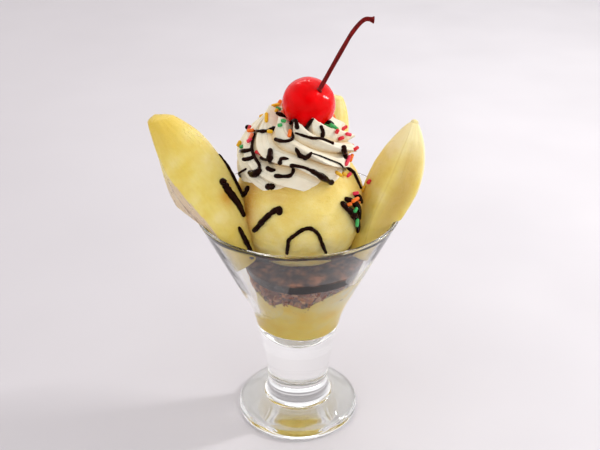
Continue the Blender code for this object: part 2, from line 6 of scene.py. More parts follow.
import logging
import random
from collections.abc import Callable, Iterable, Sequence
from dataclasses import dataclass, field
from enum import Enum
from math import atan2, cos, degrees, exp, hypot, pi, radians, sin, sqrt
from typing import Any, ClassVar

import bmesh
import bpy
import numpy as np
from mathutils import Matrix, Vector, noise
from mathutils.bvhtree import BVHTree


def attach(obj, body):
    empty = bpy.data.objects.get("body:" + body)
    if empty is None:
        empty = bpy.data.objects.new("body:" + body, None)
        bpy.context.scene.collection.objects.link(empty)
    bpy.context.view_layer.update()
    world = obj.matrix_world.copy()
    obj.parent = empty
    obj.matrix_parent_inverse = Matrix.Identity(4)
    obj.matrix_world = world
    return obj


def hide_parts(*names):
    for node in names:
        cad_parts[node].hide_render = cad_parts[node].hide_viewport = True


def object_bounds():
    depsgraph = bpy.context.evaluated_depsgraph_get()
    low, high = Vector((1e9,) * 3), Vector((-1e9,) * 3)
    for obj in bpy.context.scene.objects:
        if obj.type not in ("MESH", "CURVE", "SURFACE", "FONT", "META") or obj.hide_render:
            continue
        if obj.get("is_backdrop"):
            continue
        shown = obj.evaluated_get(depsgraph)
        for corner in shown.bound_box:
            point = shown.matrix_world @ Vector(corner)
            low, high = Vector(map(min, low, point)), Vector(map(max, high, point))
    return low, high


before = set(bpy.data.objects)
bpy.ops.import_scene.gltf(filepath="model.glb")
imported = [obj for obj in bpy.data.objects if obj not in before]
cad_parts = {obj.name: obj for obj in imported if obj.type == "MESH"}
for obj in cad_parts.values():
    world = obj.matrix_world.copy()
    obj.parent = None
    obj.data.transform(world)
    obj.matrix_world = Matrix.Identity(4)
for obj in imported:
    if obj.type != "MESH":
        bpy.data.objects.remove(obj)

CAD_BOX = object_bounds()
MM = 0.001
BODY = "root"
# How far what fills the glass reaches into its wall, so that no air gap shows.
INTO_WALL = 0.12 * MM

Material = bpy.types.Material
Mesh = bpy.types.Mesh
Object = bpy.types.Object
Socket = bpy.types.NodeSocket
Line = tuple[tuple[float, float], ...]
Rings = list[list[Vector]]
Spots = list[tuple[Vector, Vector]]
Level = Callable[[float, float], float]

logging.basicConfig(level=logging.INFO, format="%(message)s")
log = logging.getLogger("parfait")


class Slot(Enum):
    """Names of material slots."""

    GLASS = "clear_glass"
    CUSTARD = "custard"
    FLAKES = "chocolate_flakes"
    SAUCE = "chocolate_sauce"
    ICE_CREAM = "vanilla_ice_cream"
    CREAM = "whipped_cream"
    BANANA = "banana_flesh"
    CHERRY = "candied_cherry"
    STALK = "cherry_stalk"


class Sugar(Enum):
    """The colours that sugar strands come in, as sRGB hex values."""

    RED = "#D40C22"
    ORANGE = "#F0700C"
    YELLOW = "#E6AE0C"
    GREEN = "#2AA552"
    PINK = "#E62C4C"
    SALMON = "#F07C54"


def linear(colour: str, alpha: float = 1.0) -> tuple[float, float, float, float]:
    """Turns an sRGB hex value into a linear colour.

    Args:
        colour: The value, such as "#FFEEDD".
        alpha: The fourth channel.

    Returns:
        Red, green, blue and alpha.
    """
    parts = [int(colour[index:index + 2], 16) / 255 for index in (1, 3, 5)]
    light = [part / 12.92 if part <= 0.04045 else ((part + 0.055) / 1.055) ** 2.4 for part in parts]
    return (light[0], light[1], light[2], alpha)


def add_node(
    tree: bpy.types.NodeTree,
    kind: str,
    settings: dict[str | int, Any] | None = None,
    links: dict[str | int, Socket] | None = None,
) -> bpy.types.Node:
    """Adds a node with its settings and links.

    Args:
        tree: The tree that gets the node.
        kind: Blender's type name of the node.
        settings: Properties, or sockets by name or place, with their values. "stops" holds a colour
            ramp's places and hex values.
        links: Sockets by name or place, with the outputs that feed them.

    Returns:
        The node.
    """
    node = tree.nodes.new(kind)
    for name, value in (settings or {}).items():
        if name == "stops":
            ramp = node.color_ramp
            while len(ramp.elements) < len(value):
                ramp.elements.new(1.0)
            for element, (place, colour) in zip(ramp.elements, value):
                element.position = place
                element.color = linear(colour)
        elif isinstance(name, str) and hasattr(node, name):
            setattr(node, name, value)
        else:
            node.inputs[name].default_value = value
    for name, source in (links or {}).items():
        tree.links.new(source, node.inputs[name])
    return node


@dataclass
class Surface:
    """A Principled material under construction.

    Args:
        name: The material's name.
        sockets: Values set directly on the shader's own sockets.
    """

    name: str
    sockets: dict[str, Any]
    material: Material = field(init=False)
    tree: bpy.types.NodeTree = field(init=False)
    shader: bpy.types.Node = field(init=False)

    def __post_init__(self) -> None:
        """Makes the material and sets the shader's sockets."""
        self.material = bpy.data.materials.new(self.name)
        self.material.use_nodes = True
        self.tree = self.material.node_tree
        self.shader = self.tree.nodes["Principled BSDF"]
        for name, value in self.sockets.items():
            self.shader.inputs[name].default_value = value

    def node(self, kind: str, settings: dict | None = None, links: dict | None = None) -> bpy.types.Node:
        """Adds a node to the material's tree."""
        return add_node(self.tree, kind, settings, links)

    def place(self) -> Socket:
        """The point's place in the object's frame."""
        return self.node("ShaderNodeTexCoord").outputs["Object"]

    def grain(self, size: float, detail: float, stretch: Sequence[float] = (1, 1, 1)) -> Socket:
        """Noise whose features have a real size.

        Args:
            size: The features' size in metres.
            detail: How many finer octaves it carries.
            stretch: Factors on the frequency along each axis.

        Returns:
            The noise's value output.
        """
        scaled = self.node("ShaderNodeMapping", {"Scale": tuple(stretch)}, {"Vector": self.place()})
        settings = {"Scale": 1 / size, "Detail": detail}
        return self.node("ShaderNodeTexNoise", settings, {"Vector": scaled.outputs[0]}).outputs["Fac"]

    def attribute(self, name: str, output: str = "Fac") -> Socket:
        """Reads an attribute of the mesh."""
        return self.node("ShaderNodeAttribute", {"attribute_name": name}).outputs[output]

    def ramp(self, value: Socket, *stops: tuple[float, str]) -> Socket:
        """Colours a value by places and hex values."""
        return self.node("ShaderNodeValToRGB", {"stops": stops}, {"Fac": value}).outputs["Color"]

    def math(self, operation: str, first: Any, second: Any) -> Socket:
        """Works on two values, each a number or an output.

        Args:
            operation: Blender's name of the operation.
            first: The first value.
            second: The second value.

        Returns:
            The result, held between 0 and 1.
        """
        values = {0: first, 1: second}
        links = {place: value for place, value in values.items() if isinstance(value, Socket)}
        numbers = {place: value for place, value in values.items() if place not in links}
        settings = {"operation": operation, "use_clamp": True, **numbers}
        return self.node("ShaderNodeMath", settings, links).outputs[0]

    def range(
        self, value: Socket, low: float, high: float, start: float = 0.0, end: float = 1.0
    ) -> Socket:
        """Maps a value from one range to another, held to its ends.

        Args:
            value: The value.
            low: The value that becomes start.
            high: The value that becomes end.
            start: The result at low.
            end: The result at high.

        Returns:
            The mapped value.
        """
        settings = {"From Min": low, "From Max": high, "To Min": start, "To Max": end}
        return self.node("ShaderNodeMapRange", settings, {"Value": value}).outputs["Result"]

    def blend(self, share: Socket, first: Any, second: Any) -> Socket:
        """Mixes two colours, each a hex value or an output.

        Args:
            share: How much of the second one shows.
            first: The first colour.
            second: The second colour.

        Returns:
            The mixed colour.
        """
        settings: dict[str | int, Any] = {"data_type": "RGBA"}
        links: dict[str | int, Socket] = {0: share}
        for place, colour in ((6, first), (7, second)):
            if isinstance(colour, str):
                settings[place] = linear(colour)
            else:
                links[place] = colour
        return self.node("ShaderNodeMix", settings, links).outputs[2]

    def colour(self, source: Socket) -> None:
        """Feeds the base colour."""
        self.tree.links.new(source, self.shader.inputs["Base Color"])

    def gloss(self, source: Socket) -> None:
        """Feeds the roughness."""
        self.tree.links.new(source, self.shader.inputs["Roughness"])

    def relief(self, *layers: tuple[Socket, float]) -> None:
        """Feeds the normal with bumps.

        Args:
            layers: Heights from 0 to 1, each with the real depth in metres that 1 stands for.
        """
        normal = None
        for height, depth in layers:
            links = {"Height": height}
            if normal is not None:
                links["Normal"] = normal
            settings = {"Strength": 1.0, "Distance": depth}
            normal = self.node("ShaderNodeBump", settings, links).outputs["Normal"]
        self.tree.links.new(normal, self.shader.inputs["Normal"])


@dataclass(frozen=True)
class Finish:
    """What a piece is made of. Each kind gives its material's name and sockets, and dresses its surface."""

    title: ClassVar[str]
    sockets: ClassVar[dict[str, Any]]

    def build(self) -> Material:
        """Makes the material."""
        surface = Surface(self.title, self.sockets)
        self.dress(surface)
        return surface.material

    def dress(self, surface: Surface) -> None:
        """Lays colour, gloss and relief on the surface.

        Args:
            surface: The material under construction.
        """
        raise NotImplementedError


def soft(weight: float, reach: tuple[float, float, float], depth: float) -> dict[str, Any]:
    """The sockets of a food that light passes into: how much, how far by colour, and how deep."""
    return {"Subsurface Weight": weight, "Subsurface Radius": reach, "Subsurface Scale": depth}


@dataclass(frozen=True)
class PressedGlass(Finish):
    """Soda-lime glass pressed in a mould and fire-polished: clear, with slow ripples from the mould."""

    title = "pressed_soda_lime_glass"
    sockets = {
        "Base Color": linear("#FEFFFE"),
        "Roughness": 0.0,
        "IOR": 1.51,
        "Specular Tint": linear("#E2E2E2"),
        "Transmission Weight": 1.0,
    }
    ripple: float = 14 * MM
    ripple_depth: float = 0.05 * MM

    def dress(self, surface: Surface) -> None:
        """Ripples the surface."""
        surface.relief((surface.grain(self.ripple, 1.0), self.ripple_depth))


@dataclass(frozen=True)
class CookedCustard(Finish):
    """Cooked custard against glass: dense yellow, paler at the upper right where cream has mixed in."""

    title = "cooked_custard"
    sockets = {
        "Roughness": 0.35, "IOR": 1.42, "Specular IOR Level": 0.02, **soft(0.2, (1.0, 0.7, 0.3), 2 * MM),
    }
    patch: float = 11 * MM
    speck: float = 4.0 * MM
    mixed_heights: tuple[float, float] = (64 * MM, 74 * MM)
    mixed_side: tuple[float, float] = (6 * MM, 20 * MM)

    def dress(self, surface: Surface) -> None:
        """Colours the custard, the cream in it and its few specks of chocolate."""
        patches = surface.grain(self.patch, 3.0)
        body = surface.ramp(patches, (0.34, "#FCD85C"), (0.55, "#FEE272"), (0.76, "#FDEA98"))
        across, _, height = surface.node("ShaderNodeSeparateXYZ", None, {0: surface.place()}).outputs
        near_top = surface.range(height, *self.mixed_heights)
        right_side = surface.math("MULTIPLY", near_top, surface.range(across, *self.mixed_side, 0.15, 1.0))
        mixed = surface.math("MULTIPLY", right_side, surface.range(patches, 0.30, 0.50, 0.3, 1.0))
        pale = surface.blend(mixed, body, "#FDF6DE")
        specks = surface.range(surface.grain(self.speck, 1.0), 0.68, 0.78, 0.0, 0.8)
        surface.colour(surface.blend(surface.math("MULTIPLY", specks, near_top), pale, "#8C6A50"))


@dataclass(frozen=True)
class FlakedChocolate(Finish):
    """Chocolate flakes soaked by custard and melted ice: dull red-brown, each chip its own shade."""

    title = "flaked_chocolate"
    sockets = {"Roughness": 0.45, "IOR": 1.47, "Specular IOR Level": 0.03}
    crumb: float = 0.8 * MM
    crumb_depth: float = 0.12 * MM

    def dress(self, surface: Surface) -> None:
        """Gives each chip its shade, with dark crumbs over it."""
        chip = surface.attribute("shade")
        body = surface.ramp(chip, (0.0, "#5A2C14"), (0.45, "#A65A32"), (0.8, "#C67E4E"), (1.0, "#E4B084"))
        grain = surface.grain(self.crumb, 3.0)
        surface.colour(surface.blend(surface.range(grain, 0.35, 0.65, 0.0, 0.35), body, "#2E1812"))
        surface.relief((grain, self.crumb_depth))


@dataclass(frozen=True)
class PouredSauce(Finish):
    """Chocolate sauce with melted ice cream in it: brown patches against the glass over a dark band."""

    title = "poured_chocolate_sauce"
    sockets = {"IOR": 1.46, "Specular IOR Level": 0.04}
    patch: float = 5 * MM
    patch_depth: float = 0.4 * MM
    band_edge: tuple[float, float] = (89.3 * MM, 88.6 * MM)

    def dress(self, surface: Surface) -> None:
        """Colours the patches and the band of thicker sauce under them."""
        patches = surface.grain(self.patch, 4.0, (1.0, 1.0, 1.5))
        shades = ((0.38, "#1C0E08"), (0.47, "#46281A"), (0.56, "#6A4028"), (0.66, "#A0684A"))
        height = surface.node("ShaderNodeSeparateXYZ", None, {0: surface.place()}).outputs[2]
        band = surface.range(height, *self.band_edge)
        surface.colour(surface.blend(band, surface.ramp(patches, *shades), "#1A0B07"))
        surface.gloss(surface.range(patches, 0.4, 0.7, 0.22, 0.5))
        surface.relief((patches, self.patch_depth))


@dataclass(frozen=True)
class ScoopedIceCream(Finish):
    """Vanilla ice cream dragged round by a scoop: fine ice grain, faint scrape lines, softly lit within."""

    title = "scooped_vanilla_ice_cream"
    sockets = {"IOR": 1.36, "Specular IOR Level": 0.3, **soft(0.25, (1.0, 0.72, 0.30), 2.5 * MM)}
    patch: float = 9 * MM
    ice: float = 0.5 * MM
    ice_depth: float = 0.2 * MM
    scrape: float = 1.6 * MM
    scrape_depth: float = 0.26 * MM

    def dress(self, surface: Surface) -> None:
        """Colours the ice cream, with painted shade in a deeper yellow where the fruit and the cream meet it,
        under its frost of ice grain.
        """
        patches = surface.grain(self.patch, 3.0)
        body = surface.ramp(patches, (0.30, "#EACC60"), (0.50, "#F0D87A"), (0.72, "#F5E29A"))
        # painted shade: a deeper orange-yellow where the bananas and the cream meet the ball
        body = surface.blend(surface.attribute("stain"), body, "#C8880C")
        fine = surface.grain(self.ice, 2.0)
        surface.colour(surface.blend(surface.range(fine, 0.35, 0.7, 0.0, 0.16), body, "#FFF3C8"))
        surface.gloss(surface.range(fine, 0.3, 0.7, 0.34, 0.55))
        scraped = surface.grain(self.scrape, 2.0, (0.35, 0.35, 1.6))
        surface.relief((scraped, self.scrape_depth), (fine, self.ice_depth))


@dataclass(frozen=True)
class BananaFlesh(Finish):
    """Ripe banana flesh: waxy and moist, with long fibres, and a browned seed line down the cut face."""

    title = "ripe_banana_flesh"
    sockets = {"IOR": 1.38, "Specular IOR Level": 0.28, **soft(0.25, (1.0, 0.75, 0.3), 2.5 * MM)}
    patch: float = 8 * MM
    wet_patch: float = 3 * MM
    pearl: float = 1.2 * MM
    pearl_depth: float = 1.1 * MM
    pore: float = 0.7 * MM
    pore_depth: float = 0.06 * MM
    fibre_depth: float = 0.12 * MM
    fibre_stretch: tuple[float, float, float] = (5.0, 60.0, 1.0)

    def dress(self, surface: Surface) -> None:
        """Colours the flesh and its cut face, with painted light and shade on its facets, and wets it where
        juice pearls on it, under a paler painted sheen.
        """
        patches = surface.grain(self.patch, 3.0)
        body = surface.ramp(patches, (0.30, "#E9D064"), (0.52, "#EFDC80"), (0.74, "#F4E49E"))
        # painted light on the paler facets, a paler tip, and painted shade in tan mid-facet on the shaded
        # ones
        marks = (("pale", "#F4EAC4"), ("tan", "#BF9A52"), ("deep", "#DDBB46"), ("ridge", "#B58B3E"))
        for mark, colour in marks:
            body = surface.blend(surface.attribute(mark), body, colour)
        links = {0: surface.attribute("along"), 1: surface.attribute("around")}
        strip = surface.node("ShaderNodeCombineXYZ", None, links).outputs[0]
        stretched = surface.node("ShaderNodeMapping", {"Scale": self.fibre_stretch}, {"Vector": strip})
        octaves = {"Scale": 1.0, "Detail": 3.0}
        fibres = surface.node("ShaderNodeTexNoise", octaves, {"Vector": stretched.outputs[0]}).outputs["Fac"]
        body = surface.blend(surface.range(fibres, 0.42, 0.70, 0.0, 0.10), body, "#D9AE52")
        body = surface.blend(surface.attribute("spots"), body, "#D68E14")
        juice = surface.attribute("juice")
        # painted sheen: the colour is paler where juice pearls
        body = surface.blend(surface.math("MULTIPLY", juice, 0.55), body, "#F6E894")
        face = surface.blend(surface.range(fibres, 0.4, 0.7, 0.0, 0.7), "#E2CDAA", "#BF9C80")
        seeds = surface.math("MULTIPLY", surface.attribute("seeds"), surface.range(fibres, 0.40, 0.58))
        face = surface.blend(seeds, face, "#7A4A2C")
        surface.colour(surface.blend(surface.attribute("cut"), body, face))
        damp = surface.range(surface.grain(self.wet_patch, 2.0), 0.38, 0.62, 0.24, 0.48)
        surface.gloss(surface.math("SUBTRACT", damp, surface.math("MULTIPLY", juice, 0.2)))
        pearls = surface.math("MULTIPLY", surface.grain(self.pearl, 2.0), juice)
        pores = surface.grain(self.pore, 2.0)
        surface.relief((fibres, self.fibre_depth), (pores, self.pore_depth), (pearls, self.pearl_depth))


@dataclass(frozen=True)
class WhippedCream(Finish):
    """Whipped cream: white to ivory, nearly matt, combed along its folds, with painted shade in tan in their
    creases.
    """

    title = "whipped_dairy_cream"
    sockets = {"IOR": 1.35, "Specular IOR Level": 0.3, **soft(0.06, (1.0, 0.82, 0.55), 1.2 * MM)}
    patch: float = 7 * MM
    bubble: float = 0.45 * MM
    bubble_depth: float = 0.05 * MM
    comb: float = 11.0
    comb_depth: float = 0.5 * MM

    def dress(self, surface: Surface) -> None:
        """Colours the folds, with painted shade in their creases, and combs them."""
        fold = surface.attribute("fold")
        body = surface.ramp(surface.grain(self.patch, 2.0), (0.35, "#F0E4CA"), (0.65, "#F4EDD8"))
        # painted shade: a tan in the creases
        surface.colour(surface.blend(surface.range(fold, 0.5, 0.0, 0.0, 0.85), body, "#E4C488"))
        fine = surface.grain(self.bubble, 2.0)
        surface.gloss(surface.range(fine, 0.3, 0.7, 0.38, 0.55))
        across = surface.node("ShaderNodeCombineXYZ", None, {0: fold}).outputs[0]
        octaves = {"Scale": self.comb, "Detail": 2.0}
        combed = surface.node("ShaderNodeTexNoise", octaves, {"Vector": across}).outputs["Fac"]
        surface.relief((combed, self.comb_depth), (fine, self.bubble_depth))


@dataclass(frozen=True)
class CandiedCherry(Finish):
    """A cherry candied in dyed syrup: saturated red, translucent, under a wet film."""

    title = "candied_cherry_skin"
    sockets = {
        "IOR": 1.40,
        "Specular IOR Level": 0.5,
        "Specular Tint": linear("#F23636"),
        **soft(0.3, (1.0, 0.02, 0.02), 3 * MM),
        "Coat Weight": 0.08,
        "Coat Roughness": 0.03,
    }
    patch: float = 6 * MM
    dent: float = 2.4 * MM
    dent_depth: float = 0.2 * MM
    pore: float = 0.8 * MM
    pore_depth: float = 0.04 * MM

    def dress(self, surface: Surface) -> None:
        """Colours the skin, and dents it as syrup shrinks it."""
        patches = surface.grain(self.patch, 2.0)
        surface.colour(surface.ramp(patches, (0.35, "#DC0000"), (0.65, "#EE0208")))
        surface.gloss(surface.range(patches, 0.35, 0.65, 0.07, 0.13))
        dents = surface.grain(self.dent, 2.0)
        surface.relief((dents, self.dent_depth), (surface.grain(self.pore, 1.0), self.pore_depth))


@dataclass(frozen=True)
class StalkBark(Finish):
    """A candied cherry's stalk: dark red-brown, satin, with fine lines along it."""

    title = "candied_cherry_stalk"
    sockets = {"Roughness": 0.3, "IOR": 1.45, "Specular IOR Level": 0.15}
    line: float = 0.9 * MM
    line_depth: float = 0.1 * MM

    def dress(self, surface: Surface) -> None:
        """Colours and cuts the lines."""
        lines = surface.grain(self.line, 3.0, (1.6, 1.6, 0.4))
        surface.colour(surface.ramp(lines, (0.35, "#480202"), (0.6, "#7E0806"), (0.75, "#A81A12")))
        surface.relief((lines, self.line_depth))


@dataclass(frozen=True)
class DrizzledChocolate(Finish):
    """Chocolate syrup in threads: nearly black, very glossy."""

    title = "drizzled_chocolate_syrup"
    sockets = {"IOR": 1.49, "Specular IOR Level": 0.14, "Specular Tint": linear("#C09488")}
    patch: float = 2 * MM
    patch_depth: float = 0.3 * MM

    def dress(self, surface: Surface) -> None:
        """Colours the syrup and makes it slightly uneven."""
        patches = surface.grain(self.patch, 2.0)
        surface.colour(surface.ramp(patches, (0.35, "#100302"), (0.65, "#200A05")))
        surface.gloss(surface.range(patches, 0.35, 0.65, 0.03, 0.10))
        surface.relief((patches, self.patch_depth))


@dataclass(frozen=True)
class SugarShell(Finish):
    """Sugar strands: dyed sugar paste, satin, each in its own colour with slight mottling."""

    title = "dyed_sugar_strand"
    sockets = {"Roughness": 0.3, "IOR": 1.5, "Specular IOR Level": 0.2}
    mottle: float = 0.8 * MM
    crystal: float = 0.5 * MM
    crystal_depth: float = 0.04 * MM

    def dress(self, surface: Surface) -> None:
        """Mottles each strand's own colour."""
        mottle = surface.range(surface.grain(self.mottle, 2.0), 0.4, 0.7, 0.0, 0.08)
        surface.colour(surface.blend(mottle, surface.attribute("tint", "Color"), "#FFE9D8"))
        surface.relief((surface.grain(self.crystal, 1.0), self.crystal_depth))


@dataclass(frozen=True)
class TableTop(Finish):
    """A pale matt laminate, darkened leftwards by painted shade, with painted light under the foot, where
    lamps' light doesn't pass through the glass.
    """

    title = "pale_table_laminate"
    sockets = {"Roughness": 0.6, "Specular IOR Level": 0.2}
    patch: float = 120 * MM
    greyer_leftwards: tuple[float, float] = (150 * MM, -250 * MM)
    under_foot: tuple[float, float] = (29 * MM, 26 * MM)

    def dress(self, surface: Surface) -> None:
        """Colours the laminate, with painted shade towards the left and painted light under the foot."""
        patches = surface.ramp(surface.grain(self.patch, 2.0), (0.3, "#D7D3D6"), (0.7, "#DDD9DC"))
        across = surface.node("ShaderNodeSeparateXYZ", None, {0: surface.place()}).outputs[0]
        # painted shade: greyer towards the left, away from the lamp at the right
        painted_leftward_shade = surface.range(across, *self.greyer_leftwards, 0.0, 0.6)
        reach = surface.node("ShaderNodeVectorMath", {"operation": "LENGTH"}, {0: surface.place()})
        lit = surface.range(reach.outputs["Value"], *self.under_foot)
        surface.colour(surface.blend(lit, surface.blend(painted_leftward_shade, patches, "#C6C0C3"), "#FBF8F9"))


def stand(name: str, data: Any) -> Object:
    """Adds an object with its data to the scene."""
    item = bpy.data.objects.new(name, data)
    bpy.context.scene.collection.objects.link(item)
    return item


def settled(item: Object) -> Mesh:
    """An object's shape after its modifiers, as a plain mesh."""
    graph = bpy.context.evaluated_depsgraph_get()
    graph.update()
    return bpy.data.meshes.new_from_object(item.evaluated_get(graph), depsgraph=graph)


def skin(rings: Sequence[Sequence[Vector]], hoop: bool = False) -> Mesh:
    """Skins a closed mesh over rings of points.

    Args:
        rings: The rings, where one of a single point is a pole.
        hoop: Whether the last ring meets the first one.

    Returns:
        The mesh, with its faces outward.
    """
    work = bmesh.new()
    rows = [[work.verts.new(point) for point in ring] for ring in rings]
    if hoop:
        rows.append(rows[0])
    for lower, upper in zip(rows, rows[1:]):
        count = max(len(lower), len(upper))
        for side in range(count):
            after = (side + 1) % count
            corners = [lower[side % len(lower)], lower[after % len(lower)]]
            corners += [upper[after % len(upper)], upper[side % len(upper)]]
            work.faces.new(list(dict.fromkeys(corners)))
    bmesh.ops.recalc_face_normals(work, faces=work.faces)
    mesh = bpy.data.meshes.new("skin")
    work.to_mesh(mesh)
    work.free()
    return mesh


def paint(mesh: Mesh, name: str, values: Iterable[float]) -> None:
    """Stores a value for each point as an attribute."""
    layer = mesh.attributes.new(name, "FLOAT", "POINT")
    layer.data.foreach_set("value", np.fromiter(values, dtype=np.float32))


def piece(
    name: str,
    mesh: Mesh,
    material: Material | None,
    nodes: Sequence[str] = (),
    sharp: float = 50.0,
) -> Object:
    """Adds a finished piece that rides on the part's body.

    Args:
        name: The piece's name.
        mesh: Its mesh, in the frame's own place.
        material: Its material, or None where the mesh has it.
        nodes: The CAD nodes that it stands for.
        sharp: The angle in degrees past which an edge shows.

    Returns:
        The object.
    """
    mesh.name = name
    if material is not None:
        mesh.materials.clear()
        mesh.materials.append(material)
    mesh.shade_smooth()
    mesh.set_sharp_from_angle(angle=radians(sharp))
    item = stand(name, mesh)
    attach(item, BODY)
    if nodes:
        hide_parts(*nodes)
    log.info("%s: %d faces, stands for %s", name, len(mesh.polygons), ", ".join(nodes) or "no node")
    return item


def azimuths(sides: int) -> list[float]:
    """Even azimuths once round."""
    return [2 * pi * side / sides for side in range(sides)]


def turn(radius: float, azimuth: float, height: float, axis: Vector = Vector((0, 0, 0))) -> Vector:
    """A point at a radius and an azimuth round an upright axis."""
    return axis + Vector((radius * cos(azimuth), radius * sin(azimuth), height))


def level_ring(radius: float, height: float, sides: int) -> list[Vector]:
    """Points round the glass's axis at one height."""
    return [turn(radius, azimuth, height) for azimuth in azimuths(sides)]


def pole(height: float) -> list[Vector]:
    """The single point on the glass's axis that closes a shape."""
    return [Vector((0, 0, height))]


def smooth_path(points: Sequence[Sequence[float]], steps: int) -> list[Vector]:
    """Points along a Catmull-Rom curve.

    Args:
        points: The points that the curve goes through.
        steps: How many points stand for each of its stretches.

    Returns:
        The curve's points.
    """
    knots = [Vector(point) for point in points]
    padded = [2 * knots[0] - knots[1], *knots, 2 * knots[-1] - knots[-2]]
    path = []
    for index in range(1, len(padded) - 2):
        before, start, end, after = padded[index - 1:index + 3]
        for step in range(steps):
            t = step / steps
            bend = 2 * before - 5 * start + 4 * end - after
            twist = 3 * start - before - 3 * end + after
            path.append(0.5 * (2 * start + (end - before) * t + bend * t * t + twist * t * t * t))
    path.append(knots[-1])
    return path


def eased(value: float, low: float, high: float) -> float:
    """A smooth step from 0 at low to 1 at high."""
    share = min(1.0, max(0.0, (value - low) / (high - low)))
    return share * share * (3 - 2 * share)


def tabulated(value: float, table: Sequence[tuple[float, float]]) -> float:
    """Reads a smooth curve through a few points at a value.

    Args:
        value: Where it is read.
        table: The points, in rising order.

    Returns:
        The curve's height there.
    """
    places = [place for place, _ in table]
    heights = [height for _, height in table]
    if value <= places[0]:
        return heights[0]
    for index in range(len(table) - 1):
        if value <= places[index + 1]:
            width = places[index + 1] - places[index]
            share = (value - places[index]) / width
            left = heights[max(index - 1, 0)], places[max(index - 1, 0)]
            right = heights[min(index + 2, len(table) - 1)], places[min(index + 2, len(table) - 1)]
            slope_in = (heights[index + 1] - left[0]) / (places[index + 1] - left[1]) * width
            slope_out = (right[0] - heights[index]) / (right[1] - places[index]) * width
            square, cube = share * share, share * share * share
            return (
                heights[index] * (2 * cube - 3 * square + 1) + slope_in * (cube - 2 * square + share)
                + heights[index + 1] * (3 * square - 2 * cube) + slope_out * (cube - square)
            )
    return heights[-1]


class Recipe:
    """A Geometry Nodes tree with named inputs, run on a mesh and turned to a plain mesh."""

    def __init__(self, name: str, inputs: dict[str, tuple[str, Any]]) -> None:
        """Starts the tree.

        Args:
            name: The tree's name.
            inputs: Each input's socket type and value, by name.
        """
        self.tree = bpy.data.node_groups.new(name, "GeometryNodeTree")
        face = self.tree.interface
        face.new_socket("Geometry", in_out="INPUT", socket_type="NodeSocketGeometry")
        self.values = {name: value for name, (_, value) in inputs.items()}
        self.handles = {
            name: face.new_socket(name, in_out="INPUT", socket_type=kind).identifier
            for name, (kind, _) in inputs.items()
        }
        face.new_socket("Geometry", in_out="OUTPUT", socket_type="NodeSocketGeometry")
        self.source = add_node(self.tree, "NodeGroupInput")

    def node(self, kind: str, settings: dict | None = None, links: dict | None = None) -> bpy.types.Node:
        """Adds a node to the tree."""
        return add_node(self.tree, kind, settings, links)

    def read(self, name: str, kind: str) -> Socket:
        """The output of a named attribute of a data type."""
        return self.node("GeometryNodeInputNamedAttribute", {"data_type": kind, "Name": name}).outputs[0]

    def end(self, geometry: Socket, material: Material) -> None:
        """Realizes the instances, sets the material and ends the tree."""
        real = self.node("GeometryNodeRealizeInstances", None, {0: geometry})
        dressed = self.node("GeometryNodeSetMaterial", {"Material": material}, {"Geometry": real.outputs[0]})
        self.node("NodeGroupOutput", None, {0: dressed.outputs[0]})

    def run(self, mesh: Mesh) -> Mesh:
        """Runs the tree on a mesh.

        Args:
            mesh: The mesh that it works on.

        Returns:
            The result as a plain mesh.
        """
        carrier = stand("carrier", mesh)
        modifier = carrier.modifiers.new("recipe", "NODES")
        modifier.node_group = self.tree
        for name, handle in self.handles.items():
            modifier[handle] = self.values[name]
        result = settled(carrier)
        bpy.data.objects.remove(carrier, do_unlink=True)
        return result


